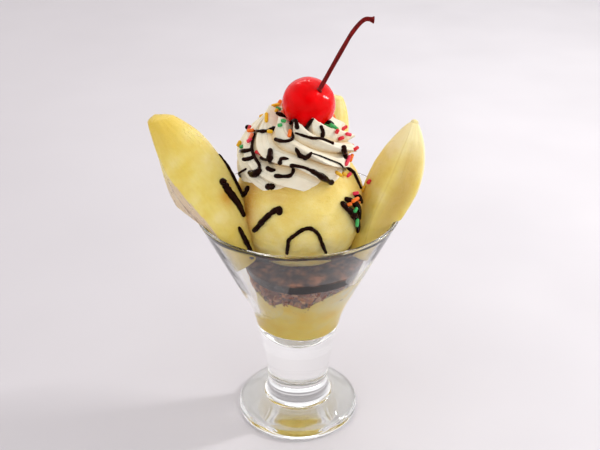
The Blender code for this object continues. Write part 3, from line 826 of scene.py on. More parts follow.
@dataclass
class GlassVessel:
    """The thick-footed conical glass, turned round its axis.

    The lines are radii and heights in millimetres, and go up the outer side and over the lip.
    """

    height: float = 109.0 * MM
    rim_radius: float = 45.0 * MM
    wall: float = 2.7 * MM
    rim_wall: float = 1.95 * MM
    cone_foot_radius: float = 23.1 * MM
    cone_foot_height: float = 62.0 * MM
    bowl_floor: float = 40.8 * MM
    bowl_roundness: float = 3.2
    stem_taper: float = 0.62
    foot_line: Line = (
        (27.7, 0.0), (28.6, 0.5), (28.9, 1.7), (28.5, 2.9), (27.4, 3.8), (25.0, 5.1), (22.5, 6.5),
        (20.0, 7.8),
    )
    collar_line: Line = (
        (18.2, 8.6), (16.8, 9.2), (15.9, 10.2), (15.3, 11.6), (14.95, 13.2), (14.75, 15.0), (14.65, 17.2),
    )
    stem_line: Line = (
        (14.6, 20.0), (14.9, 24.0), (15.6, 28.5), (16.3, 33.0), (17.1, 40.0), (18.8, 47.0), (20.6, 55.0),
    )
    cone_heights: tuple[float, ...] = (62.0, 69.0, 76.0, 83.0, 90.0, 97.0, 103.0)
    lip_line: Line = (
        (44.55, 108.0), (44.8, 108.5), (44.75, 108.8), (44.5, 108.97), (44.0, 109.0), (43.5, 108.9),
        (43.0, 108.4),
    )
    lip_drop: float = 1.6 * MM
    notch_foot: float = 66 * MM
    notch_reach: float = 16 * MM
    graze: float = 0.05 * MM
    sides: int = 160
    rows: int = 60

    def cone_share(self, height: float) -> float:
        """How far up the cone a height is, from 0 at its foot to 1 at the rim."""
        return (height - self.cone_foot_height) / (self.height - self.cone_foot_height)

    def cone_radius(self, height: float) -> float:
        """The outer radius of the bowl's cone at a height."""
        return self.cone_foot_radius + (self.rim_radius - self.cone_foot_radius) * self.cone_share(height)

    def inner_radius(self, height: float) -> float:
        """The bowl's inner side: a cone over a rounded bottom.

        Args:
            height: Where it is read.

        Returns:
            The inner radius there.
        """
        if height >= self.cone_foot_height:
            thinner = (self.wall - self.rim_wall) * self.cone_share(height)
            return self.cone_radius(height) - self.wall + thinner
        depth = (self.cone_foot_height - height) / (self.cone_foot_height - self.bowl_floor)
        taper = self.stem_taper * (self.cone_foot_radius - self.cone_radius(height))
        return (self.cone_foot_radius - self.wall - taper) * max(0.0, 1 - depth ** self.bowl_roundness) ** 0.5

    def inner_rings(self) -> Rings:
        """Rings of the inner side, closer together near the rounded bottom."""
        low, high = self.bowl_floor + 0.01 * MM, self.height - self.lip_drop
        heights = [low + (high - low) * (row / self.rows) ** 1.7 for row in range(self.rows + 1)]
        return [level_ring(self.inner_radius(height), height, self.sides) for height in heights]

    def build(self) -> Object:
        """Turns the glass."""
        below = self.foot_line + self.collar_line + self.stem_line
        knots = [Vector((radius, 0, height)) for radius, height in below]
        knots += [Vector((self.cone_radius(height * MM) / MM, 0, height)) for height in self.cone_heights]
        outer = smooth_path(knots, 5)
        outer += [Vector((radius, 0, height)) for radius, height in self.lip_line]
        rings = [pole(0.0)]
        rings += [level_ring(self.foot_line[0][0] * MM * share, 0.0, self.sides) for share in (0.5, 0.9)]
        rings += [level_ring(point.x * MM, point.z * MM, self.sides) for point in outer]
        rings += reversed(self.inner_rings())
        rings.append(pole(self.bowl_floor))
        return piece("glass_vessel", skin(rings), PressedGlass().build(), ["glass"], 60)

    def notch(self) -> Mesh:
        """The bowl's wall and all outside it as a cutter for the fruit that leans on it."""
        low, high, beyond = self.notch_foot, self.height + self.graze, self.rim_radius + self.notch_reach
        section = (
            (self.inner_radius(low) - self.graze, low),
            (self.inner_radius(self.height) - self.graze, high),
            (self.rim_radius + self.graze, high),
            (beyond, high + 6 * MM),
            (beyond, low),
        )
        return skin([level_ring(radius, height, self.sides) for radius, height in section], True)


@dataclass
class Fillings:
    """Custard, flakes and sauce, in layers that reach just into the glass.

    By height, in millimetres, the slack is how far they stand off the wall where clear glass shows beside
    them. They touch the wall where it comes to less than `touching`.
    """

    vessel: GlassVessel
    custard_top: float = 76.5 * MM
    banked: float = 10.0 * MM
    banked_side: float = radians(-22)
    flakes_top: float = 84.5 * MM
    flakes_back_rise: float = 2.6 * MM
    sauce_top: float = 89.8 * MM
    slack_left: Line = ((54, 0.0), (61, 1.2), (70, 4.4), (78, 5.0), (87, 7.4), (92, 7.6))
    slack_right: Line = ((78, 0.0), (87, 2.6), (92, 2.8))
    touching: float = 0.6 * MM
    left_side: float = radians(194)
    right_side: float = radians(-8)
    sunk_flakes: Line = ((-117, 3.5), (-84, 4.2), (-40, 2.0), (35, 3.0), (140, 2.5))
    sunk_spread: float = 9
    pocket_side: float = radians(-128)
    pocket_spread: float = radians(34)
    pocket_depth: float = 2.8 * MM
    film: float = 0.8 * MM
    lap: float = 0.1 * MM
    middle_reach: float = 18 * MM
    wave_length: float = 9 * MM
    sides: int = 144

    def side_radius(self, azimuth: float, height: float) -> float:
        """Where a layer's side stands: in the wall, but for the sides where air shows behind the glass.

        Args:
            azimuth: The direction from the axis.
            height: The height there.

        Returns:
            The side's radius.
        """
        sides = ((self.left_side, self.slack_left, 12), (self.right_side, self.slack_right, 16))
        slack = 0.0
        for side, table, narrowness in sides:
            slack += tabulated(height / MM, table) * MM * cos((azimuth - side) / 2) ** narrowness
        return self.vessel.inner_radius(height) + INTO_WALL - max(0.0, slack - self.touching)

    def wave(self, azimuth: float, radius: float, seed: float) -> float:
        """A gentle uneven level."""
        spot = Vector((radius * cos(azimuth), radius * sin(azimuth), seed * MM))
        return noise.noise(spot / self.wave_length)

    def custard_level(self, azimuth: float, radius: float) -> float:
        """The face between custard and flakes, with places where flakes have sunk deeper.

        Args:
            azimuth: The direction from the axis.
            radius: The distance from it.

        Returns:
            The face's height.
        """
        outward = min(1.0, radius / self.middle_reach)
        level = self.custard_top + 1.3 * MM * self.wave(azimuth, radius, 10)
        level += self.banked * self.high_side(azimuth) * outward
        for place, depth in self.sunk_flakes:
            away = (degrees(azimuth) - place + 180) % 360 - 180
            level -= depth * MM * exp(-(away / self.sunk_spread) ** 2) * outward
        return min(level, self.flakes_level(azimuth, radius) - 0.6 * MM)

    def high_side(self, azimuth: float) -> float:
        """How near an azimuth is to the side where custard is banked up."""
        return cos((azimuth - self.banked_side) / 2) ** 18

    def flakes_level(self, azimuth: float, radius: float) -> float:
        """The face between flakes and sauce, which rises away from the front."""
        back = 0.5 - 0.5 * cos(azimuth + pi / 2)
        return self.flakes_top + self.flakes_back_rise * back + 0.5 * MM * self.wave(azimuth, radius, 20)

    def sauce_level(self, azimuth: float, radius: float) -> float:
        """The sauce's upper face, with small ripples."""
        ripple = 0.25 * MM * self.wave(azimuth, radius, 55) if radius else 0.0
        return self.sauce_top + 0.7 * MM * self.wave(azimuth, radius, 30) + ripple

    def face(self, level: Level, shift: float, inset: float, shares: Sequence[float]) -> Rings:
        """Rings over a layer's face.

        Args:
            level: The face's height at an azimuth and a radius.
            shift: How much higher the rings lie.
            inset: How far inside the layer's side they end.
            shares: Shares of the way from the middle to the side.

        Returns:
            The rings.
        """
        rings = []
        for share in shares:
            ring = []
            for azimuth in azimuths(self.sides):
                height = level(azimuth, 20 * MM)
                for _ in range(3):
                    edge = self.side_radius(azimuth, height) - inset
                    height = level(azimuth, edge)
                radius = edge * share
                if share < 1.0:
                    height = level(azimuth, radius)
                ring.append(turn(radius, azimuth, height + shift))
            rings.append(ring)
        return rings

    def between(self, lower: Level, upper: Level, inset: float, rows: int) -> Mesh:
        """A layer between two faces.

        Args:
            lower: The lower face's level.
            upper: The upper face's level.
            inset: How far inside the layer's side it ends.
            rows: How many rings its side has.

        Returns:
            The mesh.
        """
        bottom = self.face(lower, -self.lap, inset, (0.3, 0.6, 0.9, 1.0))
        top = self.face(upper, self.lap, inset, (1.0, 0.97, 0.9, 0.8, 0.7, 0.6, 0.5, 0.25))
        rings = [pole(lower(0, 0)), *bottom]
        for row in range(1, rows):
            ring = []
            for low, high, azimuth in zip(bottom[-1], top[0], azimuths(self.sides)):
                height = low.z + (high.z - low.z) * row / rows
                ring.append(turn(self.side_radius(azimuth, height) - inset, azimuth, height))
            rings.append(ring)
        rings += top
        rings.append(pole(upper(0, 0)))
        return skin(rings)

    def custard_side(self, azimuth: float, height: float) -> float:
        """The custard's side, with the pocket of air it leaves at the bowl's bottom."""
        away = (azimuth - self.pocket_side + pi) % (2 * pi) - pi
        window = exp(-(away / self.pocket_spread) ** 2)
        low = 1 - eased(height, self.vessel.bowl_floor + 3 * MM, self.vessel.bowl_floor + 10 * MM)
        return self.side_radius(azimuth, height) - (self.film + self.pocket_depth * window) * low

    def build_custard(self) -> Object:
        """Fills the bowl's rounded bottom with custard."""
        floor = self.vessel.bowl_floor
        rows = 40
        rings = [pole(floor + self.film)]
        top = self.face(self.custard_level, self.lap, 0.0, (1.0, 0.85, 0.6, 0.3))
        for row in range(rows):
            ring = []
            for azimuth, rim in zip(azimuths(self.sides), top[0]):
                height = floor + 0.9 * MM + (rim.z - floor - 1.4 * MM) * (row / rows) ** 1.7
                ring.append(turn(max(0.3 * MM, self.custard_side(azimuth, height)), azimuth, height))
            rings.append(ring)
        rings += top
        rings.append(pole(self.custard_level(0, 0)))
        return piece("custard_fill", skin(rings), CookedCustard().build(), ["custard"])

    def build_flakes(self) -> Object:
        """Heaps chips of chocolate over a smaller core."""
        chocolate = FlakedChocolate().build()
        core = self.between(self.custard_level, self.flakes_level, 1.5 * MM, 10)
        recipe = Recipe("flake_heap", {
            "Density": ("NodeSocketFloat", 230000.0),
            "Chip Size": ("NodeSocketFloat", 2.3 * MM),
            "Seed": ("NodeSocketInt", 5),
        })
        given = recipe.source.outputs
        seeded = {"Seed": given["Seed"]}
        chip = recipe.node("GeometryNodeMeshIcoSphere", {"Subdivisions": 2}, {"Radius": given["Chip Size"]})
        lumpy = recipe.node("ShaderNodeTexNoise", {"Scale": 420.0, "Detail": 1.0})
        centred = {"operation": "SUBTRACT", 1: (0.5, 0.5, 0.5)}
        push = recipe.node("ShaderNodeVectorMath", centred, {0: lumpy.outputs["Color"]})
        dented = {"operation": "SCALE", "Scale": 2.6 * MM}
        far = recipe.node("ShaderNodeVectorMath", dented, {0: push.outputs[0]})
        chip = recipe.node("GeometryNodeSetPosition", None, {
            "Geometry": chip.outputs["Mesh"], "Offset": far.outputs[0],
        })
        spread = recipe.node("GeometryNodeDistributePointsOnFaces", None, {
            "Mesh": given["Geometry"], "Density": given["Density"], **seeded,
        })
        spin = recipe.node("FunctionNodeRandomValue", {
            "data_type": "FLOAT_VECTOR", 1: (6.28, 6.28, 6.28),
        }, seeded)
        grow = recipe.node("FunctionNodeRandomValue", {
            "data_type": "FLOAT_VECTOR", 0: (0.45, 0.35, 0.18), 1: (1.25, 0.9, 0.5),
        }, seeded)
        heap = recipe.node("GeometryNodeInstanceOnPoints", None, {
            "Points": spread.outputs["Points"], "Instance": chip.outputs[0],
            "Rotation": spin.outputs[0], "Scale": grow.outputs[0],
        })
        shade = recipe.node("FunctionNodeRandomValue", {"data_type": "FLOAT"}, seeded)
        tinted = recipe.node("GeometryNodeStoreNamedAttribute", {
            "data_type": "FLOAT", "domain": "INSTANCE", "Name": "shade",
        }, {"Geometry": heap.outputs[0], "Value": shade.outputs[1]})
        base = recipe.node("GeometryNodeStoreNamedAttribute", {
            "data_type": "FLOAT", "domain": "POINT", "Name": "shade", "Value": 0.15,
        }, {"Geometry": given["Geometry"]})
        both = recipe.node("GeometryNodeJoinGeometry", None, {0: tinted.outputs[0]})
        recipe.tree.links.new(base.outputs[0], both.inputs[0])
        recipe.end(both.outputs[0], chocolate)
        heap_mesh = recipe.run(core)
        self.press_to_wall(heap_mesh)
        return piece("flake_heap", heap_mesh, None, ["chocolate_flakes"], 35)

    def press_to_wall(self, mesh: Mesh) -> None:
        """Presses what stands out of the layer back to its side, and further in where custard is banked up.

        Args:
            mesh: The heap's mesh, which is changed.
        """
        for vertex in mesh.vertices:
            point = vertex.co
            reach = hypot(point.x, point.y)
            azimuth = atan2(point.y, point.x)
            limit = self.side_radius(azimuth, point.z)
            if point.z < self.custard_level(azimuth, reach) + 0.4 * MM:
                limit -= 0.8 * MM * eased(self.high_side(azimuth), 0.3, 0.5)
            if reach > limit:
                vertex.co = Vector((point.x * limit / reach, point.y * limit / reach, point.z))

    def build_sauce(self) -> Object:
        """Pours the sauce over the flakes."""
        mesh = self.between(self.flakes_level, self.sauce_level, 0.0, 12)
        return piece("sauce_fill", mesh, PouredSauce().build(), ["chocolate_sauce"])


@dataclass
class IceCreamBall:
    """The scooped ball of vanilla ice cream, squat below where it has settled."""

    centre: Vector = field(default_factory=lambda: Vector((0.8, 0.0, 110.5)) * MM)
    radius: float = 28.6 * MM
    rise: float = 27.0 * MM
    drop: float = 23.5 * MM
    squareness: float = 2.7
    roughness: float = 0.7 * MM
    grain: float = 0.16 * MM
    # painted shade where the bananas and the cream meet the ball: azimuth in degrees, height in mm, spread
    # round in degrees, spread up in mm, and strength
    painted_shades: tuple[tuple[float, float, float, float, float], ...] = (
        (-144, 114, 12, 20, 1.0),
        (-18, 107, 7, 14, 0.9),
        (-66, 127.5, 16, 3.0, 0.15),
        (-110, 124, 12, 2.0, 0.3),
    )
    sides: int = 220
    rows: int = 130

    def stain(self, spot: Vector) -> float:
        """How much painted shade, in a deeper yellow, lies at a point: most where the fruit and the cream
        meet the ball.

        Args:
            spot: The point.

        Returns:
            0 where none is painted, up to 1.
        """
        around = degrees(atan2(spot.y - self.centre.y, spot.x - self.centre.x))
        depth = 0.0
        for side, height, wide, tall, most in self.painted_shades:
            away = ((around - side + 180) % 360 - 180) / wide
            depth += most * exp(-away ** 2 - ((spot.z / MM - height) / tall) ** 2)
        return min(1.0, depth)

    def point(self, azimuth: float, rise: float) -> Vector:
        """A point of the ball's skin.

        Args:
            azimuth: Its direction from the axis.
            rise: Its angle above the middle, from -pi / 2 below to pi / 2 on top.

        Returns:
            The point.
        """
        drop = self.rise if rise > 0 else self.drop
        power = 2.0 if rise > 0 else self.squareness
        across = abs(cos(rise)) ** (2 / power)
        upward = abs(sin(rise)) ** (2 / power) * (1 if rise > 0 else -1)
        direction = Vector((across * cos(azimuth), across * sin(azimuth), upward))
        uneven = self.roughness * noise.noise(direction * 3.1 + Vector((4.0, 0.0, 0.0)))
        uneven += self.grain * noise.noise(direction * 15)
        scraped = Vector((direction.x * 6, direction.y * 6, direction.z * 26))
        uneven += 0.6 * self.grain * noise.noise(scraped) + 0.25 * self.grain * noise.noise(direction * 70)
        wide, tall = self.radius + uneven, drop + uneven
        return self.centre + Vector((direction.x * wide, direction.y * wide, direction.z * tall))

    def top_at(self, reach: float) -> float:
        """The height of its upper half at a distance from its axis."""
        return self.centre.z + self.rise * sqrt(max(0.0, 1 - (reach / self.radius) ** 2))

    def build(self) -> Object:
        """Makes the ball."""
        rings = [[self.point(0.0, -pi / 2)]]
        for row in range(1, self.rows):
            rise = pi * (row / self.rows - 0.5)
            rings.append([self.point(azimuth, rise) for azimuth in azimuths(self.sides)])
        rings.append([self.point(0.0, pi / 2)])
        mesh = skin(rings)
        paint(mesh, "stain", (self.stain(vertex.co) for vertex in mesh.vertices))
        return piece("ice_cream_scoop", mesh, ScoopedIceCream().build(), ["ice_cream_ball"])


@dataclass
class BananaPiece:
    """A length of peeled banana, cut slantwise along one side.

    Args:
        name: The piece's name.
        node: The CAD node that it stands for.
        spine: The spine's points in millimetres, from the foot to the tip.
        facing: Where the cut face looks, at the tip.
        girth: The full radius in millimetres.
        flat: How far the cut face is from the spine, as a share of the radius.
        tip: The tip's radius as a share of the full one.
        foot: The foot's radius as a share of the full one.
        slant: How far the tip is cut back on the side away from the cut face, in millimetres.
        bulge: How much further out the cut face stands past the middle.
        roll: The turn of the five facets in degrees.
        angular: How much the five facets show, from 0 to 1.
        facing_foot: Where the cut face looks at the foot, if elsewhere.
        cut_end: The share of the length past which the cut face is smeared over.
        ripeness: How much deeper the yellow is towards the tip.
        paleness: How much paler the flesh is towards the tip.
        spots: Brown spots, each by its share of the length, angle in degrees and reach.
        juice: The patch where juice pearls, under a paler painted sheen, given in the same way.
        facet_shading: Each facet's painted shade and light: painted shade in tan above 0, and paler painted
            light below it.
    """

    name: str
    node: str
    spine: tuple[tuple[float, float, float], ...]
    facing: tuple[float, float, float]
    girth: float
    flat: float
    tip: float
    foot: float
    slant: float = 0.0
    bulge: float = 0.0
    roll: float = 0.0
    angular: float = 1.0
    facing_foot: tuple[float, float, float] | None = None
    cut_end: float = 1.2
    ripeness: float = 0.0
    paleness: float = 0.0
    spots: tuple[tuple[float, float, float], ...] = ()
    juice: tuple[float, float, float] | None = None
    facet_shading: tuple[float, ...] = (0.0,)
    sides: int = 110
    rows: int = 120
    facet: float = radians(72)
    path: list[Vector] = field(init=False)

    def __post_init__(self) -> None:
        """Reads the smooth spine."""
        self.path = smooth_path([Vector(point) * MM for point in self.spine], 8)

    def station(self, along: float) -> tuple[Vector, Vector, Vector, Vector]:
        """Where the spine is at a share of its length, and how it lies there.

        Args:
            along: The share, from the foot to the tip.

        Returns:
            The centre, the way on, the way to the cut face, and the way across both.
        """
        place = along * (len(self.path) - 1)
        index = min(int(place), len(self.path) - 2)
        centre = self.path[index].lerp(self.path[index + 1], place - index)
        ways = []
        for knot in (index, index + 1):
            before = self.path[max(knot - 2, 0)]
            after = self.path[min(knot + 3, len(self.path) - 1)]
            ways.append((after - before).normalized())
        direction = ways[0].lerp(ways[1], place - index).normalized()
        facing = Vector(self.facing_foot or self.facing)
        facing = facing.lerp(Vector(self.facing), eased(along, 0.42, 0.85)).normalized()
        cut_side = (facing - direction * facing.dot(direction)).normalized()
        return centre, direction, cut_side, direction.cross(cut_side)

    def radius(self, along: float) -> float:
        """The radius at a share of the length: full in the middle and slim at the ends."""
        low = self.foot + (1 - self.foot) * sin(min(1.0, along / 0.5) * pi / 2)
        high = self.tip + (1 - self.tip) * cos(max(0.0, (along - 0.45) / 0.55) * pi / 2) ** 0.8
        return self.girth * MM * min(low, high)

    def point(self, along: float, around: float) -> tuple[Vector, float]:
        """A point of the skin, and how much it belongs to the cut face.

        Args:
            along: Share of the length, from the foot to the tip.
            around: Angle round the spine, 0 in the middle of the cut face.

        Returns:
            The point, and 1 on the cut face or 0 elsewhere.
        """
        centre, direction, cut_side, cross_side = self.station(along)
        radius = self.radius(along)
        offset = self.turned(around)[1]
        offset *= 1 - 0.06 * abs(offset / (self.facet / 2)) ** 8
        pentagon = cos(self.facet / 2) / cos(offset)
        reach = radius * (1.0 + (0.2 + 0.42 * self.angular) * (pentagon - 0.9))
        cut = radius * self.flat * (1 - 0.35 * max(0.0, along - 0.5))
        cut *= 1 + self.bulge * eased(along, 0.3, 0.7)
        on_cut = 0.0
        if cos(around) > 0.01 and reach > cut / cos(around):
            reach = cut / cos(around)
            on_cut = 1.0
        furrow = noise.noise(Vector((along * 3.0, cos(around) * 4.0, sin(around) * 4.0)))
        fine = noise.noise(Vector((along * 9.0 + 7.0, cos(around) * 13.0, sin(around) * 13.0)))
        reach += 0.22 * MM * furrow + 0.10 * MM * fine
        spot = centre + cut_side * (reach * cos(around)) + cross_side * (reach * sin(around))
        spot -= direction * (self.slant * MM * (0.5 - 0.5 * cos(around)) * eased(along, 0.7, 1.0))
        return spot, on_cut

    def turned(self, around: float) -> tuple[int, float]:
        """The facet at an angle round the spine, and the angle from that facet's middle."""
        turned = around - pi - radians(self.roll)
        facet = round(turned / self.facet)
        return facet, turned - self.facet * facet

    def marks(self, along: float, around: float, on_cut: float) -> dict[str, float]:
        """What the flesh looks like at a point of the skin.

        Args:
            along: Share of the length, from the foot to the tip.
            around: Angle round the spine.
            on_cut: 1 on the cut face.

        Returns:
            Attributes by name, each from 0 to 1.
        """
        facet, offset = self.turned(around)
        corner = abs(offset) / (self.facet / 2)
        inset = abs(atan2(sin(around), cos(around)))
        # each facet's painted shade, in tan mid-facet, or painted light, paler towards its corners
        facet_shade_level = self.facet_shading[facet % len(self.facet_shading)]
        middle = (1 - corner ** 2) * sin(pi * min(1.0, along * 1.15)) ** 0.7
        facet_lit = max(0.0, -facet_shade_level) * (0.35 + 0.65 * corner ** 2)
        return {
            "along": along,
            "around": 0.5 + 0.5 * cos(around),
            "cut": on_cut * (1 - eased(along, self.cut_end - 0.08, self.cut_end + 0.04)),
            "seeds": exp(-(inset / 0.16) ** 2) * (1 - eased(along, 0.72, 0.95)),
            "tan": max(0.0, facet_shade_level) * middle,
            "pale": min(1.0, facet_lit + self.paleness * eased(along, 0.5, 0.95)),
            "spots": min(1.0, sum(0.7 * self.near(along, around, *spot) for spot in self.spots)),
            "juice": self.near(along, around, *self.juice) if self.juice else 0.0,
            "deep": self.ripeness * eased(along, 0.62, 0.95) + 0.5 * (1 - eased(along, 0.05, 0.4)),
            "ridge": 0.4 * self.angular * eased(corner, 0.93, 1.0) * (1 - eased(along, 0.9, 1.0)),
        }

    def near(self, along: float, around: float, place: float, side: float, reach: float) -> float:
        """How near a point is to a patch, from 0 to 1.

        Args:
            along: The point's share of the length.
            around: The point's angle round the spine.
            place: The patch's share of the length.
            side: The patch's angle in degrees.
            reach: The patch's share of the length from its middle to its edge.

        Returns:
            1 in the patch's middle, falling to 0 past its edge.
        """
        away = (around - radians(side) + pi) % (2 * pi) - pi
        return exp(-((along - place) / reach) ** 2 - (away / (4 * reach)) ** 2)

    def build(self, vessel: GlassVessel, finish: Material) -> Object:
        """Makes the piece and notches it by the glass that it leans on.

        Args:
            vessel: The glass.
            finish: The flesh's material.

        Returns:
            The object.
        """
        rings: list[list[Vector]] = []
        marks: list[dict[str, float]] = []
        ends = 7
        for row in range(-ends, self.rows + ends + 1):
            along = min(1.0, max(0.0, row / self.rows))
            centre, direction = self.station(along)[:2]
            beyond = (max(0, row - self.rows) - max(0, -row)) / ends
            shrink = sqrt(1 - beyond * beyond)
            ring = []
            for around in azimuths(1 if abs(beyond) == 1.0 else self.sides):
                spot, on_cut = self.point(along, around)
                ring.append(centre + (spot - centre) * shrink + direction * (1.6 * MM * beyond))
                marks.append(self.marks(along, around, on_cut))
            rings.append(ring)
        mesh = skin(rings)
        for name in marks[0]:
            paint(mesh, name, (mark[name] for mark in marks))
        notched = self.cut_by(mesh, vessel.notch())
        return piece(self.name, notched, finish, [self.node], 40)

    def cut_by(self, mesh: Mesh, cutter: Mesh) -> Mesh:
        """Cuts a mesh by another, and keeps its largest body.

        Args:
            mesh: The mesh that is cut.
            cutter: The mesh that cuts it.

        Returns:
            The cut mesh.
        """
        target, tool = stand("target", mesh), stand("tool", cutter)
        modifier = target.modifiers.new("notch", "BOOLEAN")
        modifier.operation = "DIFFERENCE"
        modifier.object = tool
        modifier.solver = "EXACT"
        result = settled(target)
        for item in (target, tool):
            bpy.data.objects.remove(item, do_unlink=True)
        keep_largest(result)
        return result


def keep_largest(mesh: Mesh) -> None:
    """Keeps a mesh's largest connected body.

    Args:
        mesh: The mesh, which is changed.
    """
    work = bmesh.new()
    work.from_mesh(mesh)
    bmesh.ops.remove_doubles(work, verts=work.verts, dist=0.002 * MM)
    unseen = set(work.verts)
    bodies = []
    while unseen:
        body = set()
        to_visit = [unseen.pop()]
        while to_visit:
            vertex = to_visit.pop()
            body.add(vertex)
            for edge in vertex.link_edges:
                other = edge.other_vert(vertex)
                if other in unseen:
                    unseen.remove(other)
                    to_visit.append(other)
        bodies.append(body)
    bodies.sort(key=len, reverse=True)
    for body in bodies[1:]:
        bmesh.ops.delete(work, geom=list(body), context="VERTS")
    work.to_mesh(mesh)
    work.free()


@dataclass
class CreamSwirl:
    """The piped swirl: leaning folds that wind down from pointed peaks round the cherry."""

    axis: Vector = field(default_factory=lambda: Vector((0.3, 0.0, 0.0)) * MM)
    outline: Line = (
        (121, 23.0), (124, 25.0), (127, 26.0), (130, 26.4), (134, 26.3), (138, 25.4),
        (142, 23.2), (145, 20.6), (148, 17.4), (151, 14.6), (154, 12.9), (157, 12.3),
    )
    folds: int = 10
    fold_depth: float = 4.6 * MM
    edge: float = 0.07
    base: float = 129.0 * MM
    base_slant: float = 1.6 * MM
    base_side: float = radians(-25)
    base_wave: float = 3.0 * MM
    top: float = 149.4 * MM
    peak: float = 7.0 * MM
    slim: float = 4.5 * MM
    slim_side: float = radians(-18)
    wrap: float = radians(118)
    start: float = radians(-64)
    sides: int = 500
    rows: int = 110

    def fold(self, azimuth: float, share: float) -> float:
        """How far out of the creases a point stands, from 0 to 1.

        Args:
            azimuth: Its azimuth.
            share: Its height's share, from the swirl's base to its top.

        Returns:
            0 in a crease and 1 on a crest.
        """
        wander = 0.5 * noise.noise(Vector((cos(azimuth) * 1.3, sin(azimuth) * 1.3, share * 1.1)))
        lean = self.wrap * (1 - share) ** 1.15
        turns = (self.folds * (azimuth - self.start - lean) / (2 * pi) + wander) % 1.0
        if turns < self.edge:
            return (turns / self.edge) ** 0.8
        ribbon = (turns - self.edge) / (1 - self.edge)
        return 1 - ribbon ** 1.2 + 0.035 * sin(2 * pi * 2.5 * ribbon) * sin(pi * ribbon)

    def point(self, azimuth: float, share: float) -> tuple[Vector, float]:
        """A point of the swirl's skin.

        Args:
            azimuth: Its direction from the axis.
            share: Its share of the height.

        Returns:
            The point, and how far out of the creases it stands.
        """
        fold = self.fold(azimuth, share)
        low = self.base + self.base_slant * cos(azimuth - self.base_side)
        low -= self.base_wave * (fold - 0.35)
        high = self.top + self.peak * (fold - 0.3)
        height = low + (high - low) * share
        reach = tabulated(height / MM, self.outline) * MM
        depth = self.fold_depth * (0.55 + 0.45 * sin(pi * min(1.0, share * 1.05)))
        reach -= depth * (1 - fold)
        low_right = max(0.0, cos(azimuth - self.slim_side)) * (1 - eased(height, 128 * MM, 141 * MM))
        reach -= self.slim * low_right
        reach += 0.12 * MM * noise.noise(Vector((azimuth * 14, share * 5, 3.0)))
        return turn(reach, azimuth, height, self.axis), fold

    def seat(self, azimuth: float, share: float) -> tuple[Vector, Vector]:
        """A point of the skin with its outward normal."""
        spot = self.point(azimuth, share)[0]
        beside = self.point(azimuth + 0.02, share)[0]
        above = self.point(azimuth, share + 0.02)[0]
        return spot, (beside - spot).cross(above - spot).normalized()

    def build(self, ball: IceCreamBall) -> Object:
        """Makes the swirl, with its underside sunk into the ball.

        Args:
            ball: The ball that it sits on.

        Returns:
            The object.
        """
        turns = azimuths(self.sides)
        rings = [[self.axis + Vector((0, 0, 126 * MM))]]
        marks = [1.0]
        lowest = [self.point(azimuth, 0.0) for azimuth in turns]
        for share in (0.5, 0.8):
            ring = []
            for (spot, _), azimuth in zip(lowest, turns):
                reach = share * (spot - self.axis).xy.length
                ring.append(turn(reach, azimuth, min(spot.z, ball.top_at(reach) - 1.0 * MM), self.axis))
            rings.append(ring)
            marks += [fold * 0.3 for _, fold in lowest]
        for row in range(self.rows + 1):
            made = [self.point(azimuth, row / self.rows) for azimuth in turns]
            rings.append([spot for spot, _ in made])
            marks += [fold for _, fold in made]
        crown = [spot for spot, _ in made]
        for share, sink in ((0.86, 0.3), (0.66, 1.4), (0.4, 2.6), (0.2, 3.0)):
            floor = (self.top - sink * MM) * (1 - share)
            ring = []
            for azimuth, spot in zip(turns, crown):
                reach = (spot - self.axis).xy.length * share
                ring.append(turn(reach, azimuth, spot.z * share + floor, self.axis))
            rings.append(ring)
            marks += [0.6] * len(turns)
        rings.append([self.axis + Vector((0, 0, self.top - 3.2 * MM))])
        marks.append(0.6)
        mesh = skin(rings)
        paint(mesh, "fold", marks)
        return piece("cream_swirl", mesh, WhippedCream().build(), ["whipped_cream"], 75)


@dataclass
class Cherry:
    """The candied cherry and its stalk."""

    centre: Vector = field(default_factory=lambda: Vector((4.4, 0.0, 156.1)) * MM)
    radius: float = 11.2 * MM
    squash: float = 0.935
    dimple: float = 0.9 * MM
    stalk_line: tuple[tuple[float, float, float], ...] = (
        (9.1, -4.1, 164.3), (17.3, -3.3, 179.6), (21.6, -2.7, 186.9),
        (25.8, -2.2, 191.3), (29.6, -2.0, 191.2),
    )
    stalk_radius: float = 0.92 * MM

    def build_fruit(self) -> Object:
        """Makes the fruit, slightly flattened, with a dimple where the stalk stands."""
        axis = (Vector(self.stalk_line[0]) * MM - self.centre).normalized()
        tilt = Vector((0, 0, 1)).rotation_difference(axis).to_matrix()
        rows, sides = 72, 96
        rings = []
        for row in range(rows + 1):
            rise = pi * (0.5 - row / rows)
            hollow = self.dimple * exp(-((pi / 2 - rise) / 0.4) ** 2)
            ring = []
            for azimuth in azimuths(1 if row in (0, rows) else sides):
                direction = turn(cos(rise), azimuth, sin(rise))
                uneven = 0.22 * MM * noise.noise(direction * 2.2 + Vector((1, 5, 2)))
                uneven += 0.05 * MM * noise.noise(direction * 9)
                spot = direction * (self.radius + uneven)
                spot.z = spot.z * self.squash - hollow
                ring.append(self.centre + tilt @ spot)
            rings.append(ring)
        return piece("cherry_fruit", skin(rings), CandiedCherry().build(), ["cherry"])

    def build_stalk(self) -> Object:
        """Makes the stalk, flared at its foot and knobbed at its tip, as a tube along its line."""
        knots = [Vector(point) * MM for point in self.stalk_line]
        way = (knots[0] - knots[1]).normalized()
        path = smooth_path([knots[0] + way * 1.2 * MM, *knots], 14)
        radii = []
        for index in range(len(path)):
            along = index / (len(path) - 1)
            flare = 0.75 * exp(-along / 0.08) + 0.6 * exp(-((1 - along) / 0.045) ** 2)
            radii.append(self.stalk_radius * (0.98 + flare + 0.12 * noise.noise(Vector((along * 9, 0, 0)))))
        mesh = tube([(path, radii)], StalkBark().build(), 14, "stalk_tube")
        return piece("cherry_stalk_stem", mesh, None, ["cherry_stalk"])


